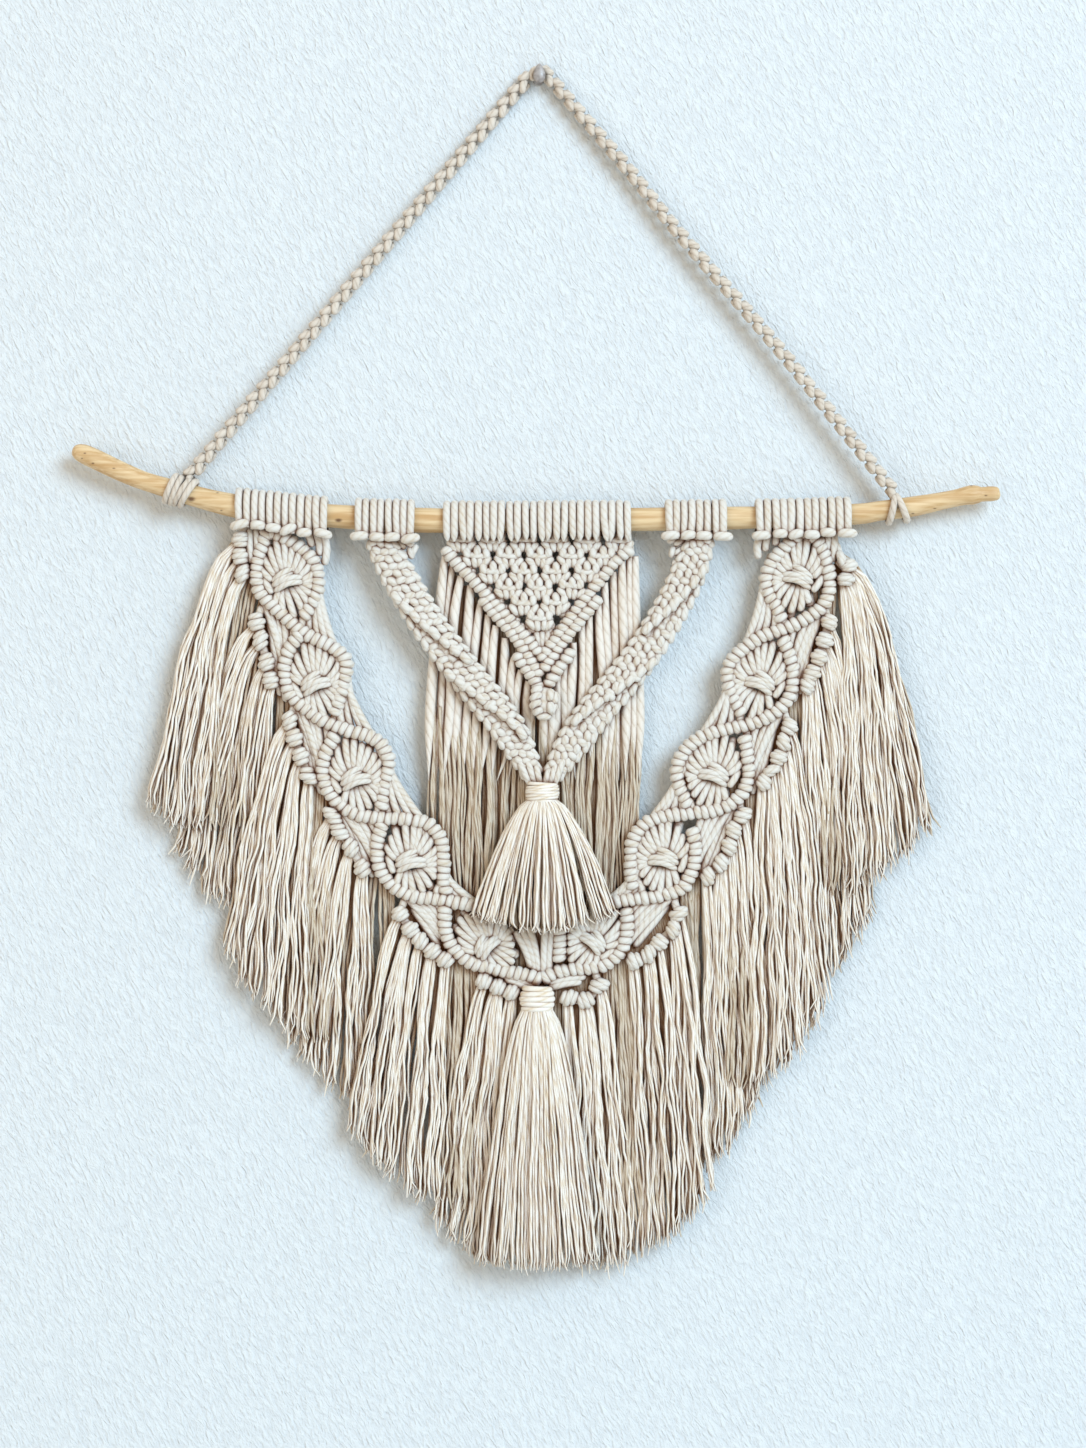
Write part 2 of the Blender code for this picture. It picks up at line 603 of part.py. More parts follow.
def make_curtain(material):
    """Locks rooted in a narrow strip that runs behind the V-shaped bars."""
    strip_points = curve_through(at_depth(CURTAIN_TOP, CURTAIN_STRIP_Y), CURTAIN_STRIP_STEP)
    strip = tubes([[(point, 1.0) for point in strip_points]], CURTAIN_STRIP_R, SIX_SIDED)
    locks = []
    for i in range(CURTAIN_LOCKS):
        share = i / (CURTAIN_LOCKS - 1)
        side = 2 * share - 1
        x = CURTAIN_MIDDLE_X + CURTAIN_HALF_WIDTH * side
        root = along(strip_points, share)
        dropped = (root.x + (x - root.x) * CURTAIN_DROP_SPREAD, CURTAIN_Y, root.z - CURTAIN_DROP)
        tip = (x * CURTAIN_GATHER, CURTAIN_Y, CURTAIN_BOTTOM_Z + CURTAIN_CORNER_RISE * abs(side))
        locks.append([(root, CURTAIN_ROOT_R), (dropped, 1.0), ((x, CURTAIN_Y, CURTAIN_WIDEST_Z), 1.0),
                      (tip, LOCK_TIP)])
    flat_locks = flattened(tubes(locks, CURTAIN_LOCK_R), CURTAIN_Y, CURTAIN_FLATNESS)
    add_fused("fringe_centre", strip, [flat_locks], material, KEEP_FRINGE)


# ---------------------------------------------------------------- sinnets


def make_sinnet(name, material):
    """A flat woven band, ridged by its rows and drawn narrow where it twists."""
    x0, x1, heads = BUNDLES[name]
    line = curve_through(at_depth(SINNETS[name], SINNET_Y), SINNET_STEP / 2)
    work = bmesh.new()
    rings = []
    for i, place in enumerate(line):
        ahead, behind = line[min(i + 1, len(line) - 1)], line[max(i - 1, 0)]
        forward = (ahead - behind).normalized()
        across = Vector((forward.z, 0, -forward.x))
        share = i / (len(line) - 1)
        twist = max(math.exp(-((share - at) / SINNET_TWIST_LENGTH) ** 2) for at in SINNET_TWISTS)
        narrow = 1.0 - SINNET_PINCH * twist
        row = 1.0 if i % 2 else SINNET_VALLEY
        end = max(0.0, (share - SINNET_TAPER_FROM) / (1 - SINNET_TAPER_FROM))
        width = SINNET_HALF_WIDTH * narrow * row * (1.0 - SINNET_TAPER * end)
        depth = SINNET_HALF_THICKNESS * (1.0 + SINNET_TWIST_SWELL * twist) * row
        ring = []
        for side, front in SINNET_SECTION:
            corner = place + across * width * side - Vector((0, 1, 0)) * depth * front
            ring.append(work.verts.new(corner * MM))
        rings.append(ring)
    for one, two in zip(rings, rings[1:]):
        for j in range(len(one)):
            k = (j + 1) % len(one)
            work.faces.new((one[j], one[k], two[k], two[j]))
    work.faces.new(rings[0])
    work.faces.new(rings[-1])
    band = bpy.data.meshes.new("woven_band")
    work.to_mesh(band)
    work.free()
    add_fused(name, sleeve(x0, x1, heads), [tidied(band)], material)


# ---------------------------------------------------------------- tassels and fringes


def make_tassel(name, material):
    """A head wrapped in turns of cord, flatter than it is wide, over two layers of locks."""
    x, top, head_half, head_height, skirt_half, side_z, middle_z = TASSELS[name]
    head_y, flatness, back_y, front_y = TASSEL_DEPTHS[name]
    neck = top - head_height
    wrap = [(x, head_y, top - head_height * i / (2 * WRAP_TURNS)) for i in range(2 * WRAP_TURNS + 1)]
    head = flattened(tubes([ridged(wrap, WRAP_VALLEY)], head_half, SIX_SIDED), head_y, flatness)
    locks = []
    for (count, reach), y in zip(SKIRT_LAYERS, (back_y, front_y)):
        half = skirt_half * reach - skirt_half / count
        for i in range(count):
            side = 2 * i / (count - 1) - 1
            end_z = middle_z + (side_z - middle_z) * side**2
            lock = []
            for of_head, of_skirt, forward, drop, fall, swell in SKIRT_PROFILE:
                place_x = x + side * (head_half * of_head + half * of_skirt)
                place_z = neck - drop + (end_z - neck) * fall
                lock.append(((place_x, head_y + (y - head_y) * forward, place_z), swell))
            locks.append(lock)
    lock_r = SKIRT_LOCK_FILL * 2 * skirt_half / SKIRT_LAYERS[-1][0]
    add_fused(name, head, [tubes(locks, lock_r)], material, KEEP_FRINGE)


def make_fringe(name, y, chain, outer_tip, inner_tip, material):
    """Flat locks side by side at depth y, rooted along a short chain of knots."""
    line = curve_through(at_depth(chain, CHAIN_Y), CHAIN_STEP / 2)
    knots = tubes([ridged(line, CHAIN_VALLEY)], CHAIN_R)
    lock_r = LOCK_FILL * abs(inner_tip[0] - outer_tip[0]) / (LOCKS_PER_FRINGE - 1)
    flatness = LOCK_HALF_DEPTH / lock_r
    root_y = y + (CHAIN_Y - y) / flatness
    locks = []
    for i in range(LOCKS_PER_FRINGE):
        share = i / (LOCKS_PER_FRINGE - 1)
        root = along(line, LOCK_ROOT_MARGIN + (1 - 2 * LOCK_ROOT_MARGIN) * share)
        tip_x = outer_tip[0] + (inner_tip[0] - outer_tip[0]) * share
        tip_z = outer_tip[1] + (inner_tip[1] - outer_tip[1]) * share
        route = []
        for fall in LOCK_FALLS:
            sideways = fall**LOCK_SPREAD
            depth = y if fall else root_y
            place = (root.x + (tip_x - root.x) * sideways, depth, root.z + (tip_z - root.z) * fall)
            route.append((place, LOCK_TIP if fall == 1.0 else 1.0))
        locks.append(route)
    add_fused(name, knots, [flattened(tubes(locks, lock_r), y, flatness)], material, KEEP_FRINGE)


# ---------------------------------------------------------------- the whole piece

clear_scene()
parts = new_collection(PART_NAME)
guides = new_collection("guides_and_cutters", hidden=True)

branch_wood = new_material("branch_wood", (0.76, 0.56, 0.31), 0.55)
hook_plastic = new_material("hook_plastic", (0.72, 0.71, 0.68), 0.25)
hanger_cord = new_material("hanger_cord", (0.60, 0.50, 0.40), 0.9)
knotted_cord = new_material("knotted_cord", (0.78, 0.71, 0.62), 0.9)
fringe_cord = new_material("fringe_cord", (0.74, 0.65, 0.54), 0.92)

make_rod(branch_wood)
make_hook(hook_plastic)
make_hanger(hanger_cord)
make_band("band_left", 1, knotted_cord)
make_band("band_right", -1, knotted_cord)
make_panel(knotted_cord)
make_curtain(fringe_cord)
make_sinnet("sinnet_left", knotted_cord)
make_sinnet("sinnet_right", knotted_cord)
for tassel in TASSELS:
    make_tassel(tassel, fringe_cord)
for row in FRINGES:
    make_fringe(*row, fringe_cord)
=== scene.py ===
import math

import bpy
import numpy as np
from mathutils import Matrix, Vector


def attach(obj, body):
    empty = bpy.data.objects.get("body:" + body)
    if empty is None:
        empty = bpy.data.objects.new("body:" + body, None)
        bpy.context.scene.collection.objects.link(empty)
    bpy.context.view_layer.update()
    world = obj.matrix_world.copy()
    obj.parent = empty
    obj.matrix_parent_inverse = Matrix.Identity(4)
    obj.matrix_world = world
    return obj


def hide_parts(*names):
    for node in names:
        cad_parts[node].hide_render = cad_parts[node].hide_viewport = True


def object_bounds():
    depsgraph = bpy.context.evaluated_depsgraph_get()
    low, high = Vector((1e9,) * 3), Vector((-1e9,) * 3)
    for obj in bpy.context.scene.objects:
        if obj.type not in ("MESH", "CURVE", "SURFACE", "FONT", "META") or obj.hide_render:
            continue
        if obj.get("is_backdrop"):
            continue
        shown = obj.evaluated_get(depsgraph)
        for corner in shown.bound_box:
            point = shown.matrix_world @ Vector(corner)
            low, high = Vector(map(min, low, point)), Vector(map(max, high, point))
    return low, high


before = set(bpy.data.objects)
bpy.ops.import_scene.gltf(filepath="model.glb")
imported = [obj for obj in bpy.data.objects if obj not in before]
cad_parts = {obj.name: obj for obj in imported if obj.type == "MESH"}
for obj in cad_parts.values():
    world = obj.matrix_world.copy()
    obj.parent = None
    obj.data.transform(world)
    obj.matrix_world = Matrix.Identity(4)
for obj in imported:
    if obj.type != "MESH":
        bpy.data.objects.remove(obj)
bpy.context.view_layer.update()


# ---------------------------------------------------------------- wall, floor, light and camera
# The piece hangs flat against a white, finely plastered wall. Soft daylight comes from the upper right,
# so that its shadow falls to the lower left. Neither the wall nor the floor is part of the piece.

MM, TO_MM = 0.001, 1000.0


class Shade:
    """A socket in a material's nodes. Arithmetic on it adds Math nodes; node() adds any other."""

    def __init__(self, tree, socket=None):
        self.tree = tree
        self.socket = socket

    def node(self, kind, settings=None, sockets=None, output=0):
        """A new node: first its settings, then the values or links of its sockets."""
        made = self.tree.nodes.new(kind)
        for key, value in (settings or {}).items():
            setattr(made, key, value)
        for key, value in (sockets or {}).items():
            self.feed(made.inputs[key], value)
        return Shade(self.tree, made.outputs[output])

    def feed(self, target, value):
        if isinstance(value, Shade):
            self.tree.links.new(value.socket, target)
        elif hasattr(target.default_value, "__len__") and len(value) == 3 < len(target.default_value):
            target.default_value = (*value, 1.0)
        else:
            target.default_value = value

    def math(self, operation, first, second=0.0):
        return self.node("ShaderNodeMath", {"operation": operation}, {0: first, 1: second})

    def __add__(self, other):
        return self.math("ADD", self, other)

    def __radd__(self, other):
        return self.math("ADD", other, self)

    def __sub__(self, other):
        return self.math("SUBTRACT", self, other)

    def __rsub__(self, other):
        return self.math("SUBTRACT", other, self)

    def __mul__(self, other):
        return self.math("MULTIPLY", self, other)

    def __rmul__(self, other):
        return self.math("MULTIPLY", other, self)

    def __truediv__(self, other):
        return self.math("DIVIDE", self, other)

    def __pow__(self, other):
        return self.math("POWER", self, other)

    def __abs__(self):
        return self.math("ABSOLUTE", self)

    def sine(self):
        return self.math("SINE", self)

    def stepped(self, low, high):
        """0 below low, 1 above high, and smooth between them."""
        sockets = {"Value": self, "From Min": low, "From Max": high}
        return self.node("ShaderNodeMapRange", {"interpolation_type": "SMOOTHSTEP"}, sockets)

    def between(self, first, second):
        """The colour that lies this far from the first to the second."""
        sockets = {0: self, 6: first, 7: second}
        return self.node("ShaderNodeMix", {"data_type": "RGBA"}, sockets, output=2)

    def scaled(self, amounts):
        """The vector, stretched by these amounts along x, y and z."""
        return self.node("ShaderNodeVectorMath", {"operation": "MULTIPLY"}, {0: self, 1: amounts})

    def noise(self, scale, detail, distortion=0.0):
        """Cloudy noise over this place, from 0 to 1."""
        sockets = {"Vector": self, "Scale": scale, "Detail": detail, "Distortion": distortion}
        return self.node("ShaderNodeTexNoise", None, sockets)

    def relief(self, strength, depth):
        """This height as a bump, for a shader's Normal."""
        sockets = {"Strength": strength, "Distance": depth, "Height": self}
        return self.node("ShaderNodeBump", None, sockets)

    def axes(self):
        """The three numbers of a vector."""
        split = self.node("ShaderNodeSeparateXYZ", None, {0: self})
        outputs = split.socket.node.outputs
        return [Shade(self.tree, outputs[i]) for i in range(3)]


def linear(red, green, blue):
    """A colour read by eye as 0 to 255, as the shader takes it."""
    shares = [channel / 255 for channel in (red, green, blue)]
    return tuple(s / 12.92 if s <= 0.04045 else ((s + 0.055) / 1.055) ** 2.4 for s in shares)


def finish_of(name, roughness, **constants):
    """A new material, its start for shader maths, and its main shader's node."""
    material = bpy.data.materials.new(name)
    material.use_nodes = True
    tree = material.node_tree
    shader = tree.nodes["Principled BSDF"]
    shader.inputs["Roughness"].default_value = roughness
    for key, value in constants.items():
        shader.inputs[key.replace("_", " ")].default_value = value
    return material, Shade(tree), shader


WALL_COLOUR = linear(222, 227, 228)
WALL_SHADE = linear(214, 219, 221)
WALL_Y = 0.0006
WALL_WIDTH, WALL_LOW, WALL_HIGH = 2.6, -1.3, 1.3
FLOOR_DEPTH = 2.2
PLASTER_GRAIN, PLASTER_DABS = 700.0, (420.0, 420.0, 150.0)
PLASTER_SLANT, PLASTER_DEPTH = 0.5, 0.0016

plaster, start, shader = finish_of("wall_plaster", 0.9)
place = start.node("ShaderNodeTexCoord", output=3)
grain = place.noise(PLASTER_GRAIN, 3.0)
brushed = start.node(
    "ShaderNodeVectorRotate", {"rotation_type": "Y_AXIS"}, {0: place, "Angle": PLASTER_SLANT},
)
dabs = brushed.scaled(PLASTER_DABS).noise(1.0, 3.0, 0.8)
start.feed(shader.inputs["Base Color"], dabs.stepped(0.35, 0.65).between(WALL_SHADE, WALL_COLOUR))
start.feed(shader.inputs["Normal"], (dabs + grain * 0.3).relief(1.0, PLASTER_DEPTH))
# Seen from behind, the wall and the floor let the view through to the back of the piece.
behind = start.node("ShaderNodeNewGeometry", output=6)
clear = start.node("ShaderNodeBsdfTransparent")
solid = Shade(start.tree, shader.outputs[0])
seen = start.node("ShaderNodeMixShader", None, {0: behind, 1: solid, 2: clear})
start.tree.links.new(seen.socket, start.tree.nodes["Material Output"].inputs[0])


def plain_sheet(name, corners):
    mesh = bpy.data.meshes.new(name)
    mesh.from_pydata(corners, [], [tuple(range(len(corners)))])
    mesh.materials.append(plaster)
    sheet = bpy.data.objects.new(name, mesh)
    bpy.context.scene.collection.objects.link(sheet)
    sheet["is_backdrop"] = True


side = WALL_WIDTH / 2
plain_sheet("wall", [(-side, WALL_Y, WALL_LOW), (side, WALL_Y, WALL_LOW),
                     (side, WALL_Y, WALL_HIGH), (-side, WALL_Y, WALL_HIGH)])
plain_sheet("floor", [(-side, -FLOOR_DEPTH, WALL_LOW), (side, -FLOOR_DEPTH, WALL_LOW),
                      (side, WALL_Y, WALL_LOW), (-side, WALL_Y, WALL_LOW)])


LIGHT_TARGET = (0.0, 0.0, -0.4)
SKY_COLOUR, SKY_POWER = (1.02, 0.86, 0.68, 1.0), 0.66
CAMERA_LENS, CAMERA_SENSOR = 85.0, 36.0


def soft_light(name, place, size, power, colour):
    lamp = bpy.data.lights.new(name, "AREA")
    lamp.shape = "DISK"
    lamp.size = size
    lamp.energy = power
    lamp.color = colour
    holder = bpy.data.objects.new(name, lamp)
    bpy.context.scene.collection.objects.link(holder)
    away = np.array(place) - LIGHT_TARGET
    holder.location = place
    holder.rotation_euler = (
        math.atan2(math.hypot(away[0], away[1]), away[2]), 0.0, math.atan2(away[0], -away[1])
    )


soft_light("daylight", (3.6, -5.4, 2.4), 4.0, 440.0, (0.63, 0.878, 1.113))
soft_light("bounce", (-1.8, -2.6, -0.6), 2.0, 14.0, (1.0, 0.96, 0.9))

sky = bpy.data.worlds.new("sky")
sky.use_nodes = True
sky.node_tree.nodes["Background"].inputs[0].default_value = SKY_COLOUR
sky.node_tree.nodes["Background"].inputs[1].default_value = SKY_POWER
bpy.context.scene.world = sky
bpy.context.scene.view_settings.view_transform = "Standard"

CAMERA_PLACE = (0.0029, -2.237, -0.4212)
view = bpy.data.cameras.new("view")
view.lens = CAMERA_LENS
view.sensor_width = CAMERA_SENSOR
camera = bpy.data.objects.new("view", view)
camera.location = CAMERA_PLACE
camera.rotation_euler = (math.radians(90.0), 0.0, 0.0)
bpy.context.scene.collection.objects.link(camera)
bpy.context.scene.camera = camera


# ---------------------------------------------------------------- branch rod
# A peeled and sanded branch, bent up at its left end and thinner to the right, where a twig stump and
# a cut notch are left. It is pale wood with fine lengthwise grain, two dark knots and small flecks.

ROD_Y = -14.5
ROD_ROWS = np.array([  # x, z, diameter
    (-303, -243.2, 1.2), (-302.7, -243.3, 4.6), (-301.6, -243.6, 7.8), (-299.6, -244.2, 10.4),
    (-295.4, -245.7, 12.4), (-289, -248.6, 12.9), (-266, -259.4, 12.5), (-245, -266.7, 12.7),
    (-196.5, -279.5, 15), (-137, -285.8, 15.6), (-62, -289, 15.9), (60, -288.3, 15.5),
    (140.5, -287, 14.3), (203, -285, 13.7), (221.5, -282.7, 13), (243.5, -279.8, 12.7),
    (269, -274.8, 11.2), (277, -273, 11.8), (281.5, -272.3, 12.8), (285.5, -272, 11.6),
    (288.5, -271.9, 9.4), (293, -271.6, 9.8), (297.5, -271.4, 9), (299.4, -271.3, 6.6),
    (300, -271.2, 1.2),
])
ROD_STATIONS, ROD_SIDES = 240, 24
ROD_LIT, ROD_SHADE = linear(229, 202, 158), linear(196, 156, 104)
ROD_KNOT = linear(92, 54, 26)
ROD_WAVES = ((0.12, 17.0, 0.0), (0.09, 6.3, 1.0))  # height, length and start of the waves in the wood
ROD_TIP = 10.0  # where the branch is thinner than this, it is smooth
WOOD_GRAIN, WOOD_PATCHES, WOOD_DEPTH = (26.0, 420.0, 420.0), (9.0, 60.0, 60.0), 0.0006
ROD_KNOTS = (  # x, z, half width, half height
    (-225.2, -275.5, 3.6, 2.3), (-129.7, -289.3, 3.3, 1.7),
)
ROD_FLECKS = (  # x, z, half width, half height
    (-294.1, -245.7, 1.3, 0.8), (-296.1, -249, 1.1, 0.7), (-288.9, -252.2, 1.5, 0.8),
    (-273.3, -249, 1.4, 0.6), (-275.3, -255.5, 1.6, 0.7), (-208.3, -271.1, 1.8, 0.7),
    (-205.7, -282.8, 1.6, 0.6), (242.8, -284.7, 1.8, 0.7), (257.1, -281.5, 1.5, 0.6),
    (290.2, -273, 1.6, 0.8), (281, -266.4, 1.6, 0.9),
)


def rows_at(table, marks, wanted):
    """The rows of a table at the wanted marks, in between those that it gives."""
    return np.stack([np.interp(wanted, marks, column) for column in table.T], axis=1)


def at(x, y, z):
    """Places from their x, y and z, each of them one number or many."""
    return np.stack(np.broadcast_arrays(x, y, z), axis=-1)


def at_depth(places, y):
    """Places as x and z, set at one depth or at one each."""
    return at(places[:, 0], y, places[:, 1])


def drawn_through(points, count):
    """Evenly spaced places on a smooth line through the points."""
    points = np.asarray(points, float)
    knots = np.vstack([2 * points[0] - points[1], points, 2 * points[-1] - points[-2]])
    a, b, c, d = (knots[i:len(knots) - 3 + i, None, :] for i in range(4))
    t = np.linspace(0.0, 1.0, 12, endpoint=False)[None, :, None]
    fine = 0.5 * (2 * b + (c - a) * t + (2 * a - 5 * b + 4 * c - d) * t**2
                  + (3 * b - a - 3 * c + d) * t**3)
    fine = np.vstack([fine.reshape(-1, points.shape[1]), points[-1]])
    lengths = np.concatenate([[0.0], np.cumsum(np.linalg.norm(np.diff(fine, axis=0), axis=1))])
    return rows_at(fine, lengths, np.linspace(0.0, lengths[-1], count))


def unit(vectors):
    return vectors / np.maximum(np.linalg.norm(vectors, axis=-1, keepdims=True), 1e-9)


TWIST_SHIFT = 37.0  # how far apart, at most, the twists of two tubes start


def strands(paths, radius, sides=6, facing=(0.0, -1.0, 0.0), flat=1.0, closed=False, tones=None):
    """Tubes along N paths of M places each, in millimetres, as arrays for one mesh.

    The tube's section is turned to the facing direction, which is one for all or one for each path,
    and flat is its size that way over its size across. tones are a number from 0 to 1 for each path.
    """
    paths = np.asarray(paths, float)
    count, places = paths.shape[:2]
    radius = np.broadcast_to(np.asarray(radius, float), (count, places))
    if closed:
        forward = np.roll(paths, -1, axis=1) - np.roll(paths, 1, axis=1)
    else:
        forward = np.gradient(paths, axis=1)
    forward = unit(forward)
    facing = np.broadcast_to(np.asarray(facing, float).reshape(-1, 1, 3), paths.shape)
    across = unit(np.cross(forward, facing))
    outward = unit(np.cross(across, forward))
    turn = 2 * np.pi * np.arange(sides) / sides
    wide, deep = np.cos(turn)[:, None], np.sin(turn)[:, None]
    spread = across[:, :, None] * wide + outward[:, :, None] * deep * flat
    points = (paths[:, :, None] + spread * radius[:, :, None, None]) * MM
    spans = places if closed else places - 1
    i, j = np.arange(spans)[:, None], np.arange(sides)[None, :]
    ahead, beside = (i + 1) % places, (j + 1) % sides
    corners = (i * sides + j, ahead * sides + j, ahead * sides + beside, i * sides + beside)
    quad = np.stack(corners, axis=-1)
    quads = quad[None] + (np.arange(count) * places * sides)[:, None, None, None]
    steps = np.linalg.norm(np.roll(paths, -1, axis=1) - paths, axis=2)[:, :spans]
    run = np.concatenate([np.zeros((count, 1)), np.cumsum(steps, axis=1)], axis=1)
    tones = chance.random(count) if tones is None else np.asarray(tones)
    run = run + tones[:, None] * TWIST_SHIFT
    start_u, end_u, low_v = np.broadcast_arrays(run[:, :-1, None], run[:, 1:, None], j / sides)
    high_v = low_v + 1 / sides
    twist = np.stack([start_u, low_v, end_u, low_v, end_u, high_v, start_u, high_v], axis=-1)
    tone = np.broadcast_to(tones[:, None, None], (count, places, sides))
    return points.reshape(-1, 3), quads.reshape(-1, 4), twist.reshape(-1, 2), tone.ravel()


def made_piece(name, runs, material, slot, *nodes):
    """One piece from all these runs of tubes. It stands for the named solids."""
    points, twist, tone = (
        np.concatenate([run[i] for run in runs]).astype(np.float32) for i in (0, 2, 3)
    )
    starts = np.cumsum([0] + [len(run[0]) for run in runs[:-1]])
    quads = np.concatenate([run[1] + start for run, start in zip(runs, starts)]).astype(np.int32)
    mesh = bpy.data.meshes.new(name)
    mesh.vertices.add(len(points))
    mesh.vertices.foreach_set("co", points.ravel())
    mesh.loops.add(quads.size)
    mesh.loops.foreach_set("vertex_index", quads.ravel())
    mesh.polygons.add(len(quads))
    mesh.polygons.foreach_set("loop_start", np.arange(0, quads.size, 4, dtype=np.int32))
    mesh.polygons.foreach_set("use_smooth", np.ones(len(quads), bool))
    mesh.uv_layers.new(name="twist").data.foreach_set("uv", twist.ravel())
    mesh.attributes.new("tone", "FLOAT", "POINT").data.foreach_set("value", tone)
    mesh.update(calc_edges=True)
    mesh.validate()
    mesh.materials.append(material)
    piece = bpy.data.objects.new(name, mesh)
    bpy.context.scene.collection.objects.link(piece)
    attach(piece, "root")
    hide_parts(*nodes)


chance = np.random.default_rng(5)
rod_line = drawn_through(ROD_ROWS, ROD_STATIONS)
rod_swell = sum(size * np.sin(rod_line[:, 0] / length + start) for size, length, start in ROD_WAVES)
rod_radius = rod_line[:, 2] / 2 + rod_swell * (rod_line[:, 2] > ROD_TIP)

wood, start, shader = finish_of("branch_wood", 0.5)
place = start.node("ShaderNodeTexCoord", output=3)
along, depth, height = place.axes()
grain = place.scaled(WOOD_GRAIN).noise(1.0, 5.0)
patches = place.scaled(WOOD_PATCHES).noise(1.0, 2.0)
wood_colour = (grain * 0.6 + patches * 0.4).stepped(0.36, 0.62).between(ROD_SHADE, ROD_LIT)
dark = 0.0
front = (depth * -TO_MM + ROD_Y).stepped(0.0, 2.0)
for knots, edge in ((ROD_KNOTS, 0.45), (ROD_FLECKS, 0.2)):
    for x, z, half_width, half_height in knots:
        wide = (along * TO_MM - x) / half_width
        high = (height * TO_MM - z) / half_height
        reach = (wide * wide + high * high) ** 0.5 + grain * 0.5
        dark = reach.stepped(edge, 1.25) * -1.0 + 1.0 + dark
dark = dark.math("MINIMUM", dark, 1.0) * front
start.feed(shader.inputs["Base Color"], (dark * 0.88).between(wood_colour, ROD_KNOT))
start.feed(shader.inputs["Normal"], (grain - dark * 0.8).relief(0.35, WOOD_DEPTH))
start.feed(shader.inputs["Roughness"], grain * 0.25 + 0.42)
rod_run = strands([at_depth(rod_line, ROD_Y)], [rod_radius], ROD_SIDES, tones=[0.5])
made_piece("branch", [rod_run], wood, "branch_wood", "rod")


# ---------------------------------------------------------------- wall hook
# A small adhesive hook of clear grey plastic: a round plate on the wall, a short stem for the cord and
# a teardrop head in front of it. It is moulded in one piece with a polished face.

HOOK_HEAD = (  # z, half width of the teardrop
    (-4, 0.2), (-3.7, 1.5), (-3, 2.5), (-1.6, 3.5), (0.2, 4), (2, 3.9), (3.8, 3.3),
    (5.6, 2.5), (7.2, 1.7), (8.2, 1), (8.7, 0.2),
)
HOOK_HEAD_X, HOOK_HEAD_Y, HOOK_HEAD_FLAT = 0.5, -12.4, 0.52
HOOK_STEM_R, HOOK_STEM_Z = 1.6, 1.5
HOOK_PLATE = (  # y, radius
    (-0.02, 0.2), (-0.03, 3.7), (-0.4, 4), (-1.1, 4), (-1.45, 3.6), (-1.5, 0.2),
)
HOOK_ROWS, HOOK_SIDES = 30, 28
HOOK_STEM_SHARES = (0.04, 0.3, 0.6, 0.95)  # of the way from the plate to the head
HOOK_LIT, HOOK_SHADE = linear(188, 182, 178), linear(138, 130, 126)

clear_grey, start, shader = finish_of(
    "hook_plastic", 0.3, Transmission_Weight=0.15, IOR=1.46, Coat_Weight=0.15,
)
place = start.node("ShaderNodeTexCoord", output=3)
clouding = place.noise(260.0, 2.0)
start.feed(shader.inputs["Base Color"], clouding.stepped(0.3, 0.7).between(HOOK_SHADE, HOOK_LIT))
start.feed(shader.inputs["Roughness"], clouding * 0.2 + 0.24)
head_rows = drawn_through(HOOK_HEAD, HOOK_ROWS)
head = at(HOOK_HEAD_X, HOOK_HEAD_Y, head_rows[:, 0])
stem = np.array([(HOOK_HEAD_X * s, HOOK_HEAD_Y * s, HOOK_STEM_Z) for s in HOOK_STEM_SHARES])
plate = np.array([(0.0, y, HOOK_STEM_Z - 1.0) for y, _ in HOOK_PLATE])
hook_runs = [
    strands([head], [head_rows[:, 1]], HOOK_SIDES, flat=HOOK_HEAD_FLAT, tones=[0.0]),
    strands([stem], HOOK_STEM_R, HOOK_SIDES, facing=(0.0, 0.0, 1.0), tones=[0.0]),
    strands([plate], [[r for _, r in HOOK_PLATE]], HOOK_SIDES, facing=(0.0, 0.0, 1.0), tones=[0.0]),
]
made_piece("wall_hook", hook_runs, clear_grey, "hook_plastic", "hook")


# ---------------------------------------------------------------- hanger
# A taupe cotton cord that hangs over the hook. Each leg is a chain of half hitches, tied left and right
# in turn, which makes rows of teardrop links. The ends are wound round the branch.

HANGER_CORD_R = 2.1
HANGER_TOP_R, HANGER_TOP_Y = 4.9, -6.4
HANGER_LEGS = (  # points of the leg as x, z; pitch, length, half width of its links; lean of a link
    (((-4.3, 4), (-228.3, -262)), 5.3, 8.6, 2.5, 2.6),
    (((4.3, 4), (58.2, -59.2), (91.3, -100.8), (153.7, -173.6), (195.3, -225.6), (230.5, -270)),
     5.3, 9, 2.3, 2.3),
)
LINK_R, LINK_CORE_R, BACK_LINK = 2.6, 1.7, 4.2  # radii of links and core; half a link behind
HANGER_TURNS = (  # from x, to x, turns, lean
    (-241, -225.6, 4, 0.30),
    (227.5, 232, 1, 0.28),
    (233.6, 238.5, 1, -0.30),
)
# The shade colour goes into the ply grooves and the crevice colour between the cords, both as painted
# shade.
TAUPE_LIT, TAUPE_SHADE = linear(218, 207, 192), linear(170, 149, 126)
TAUPE_CREVICE_SHADE = linear(92, 74, 58)


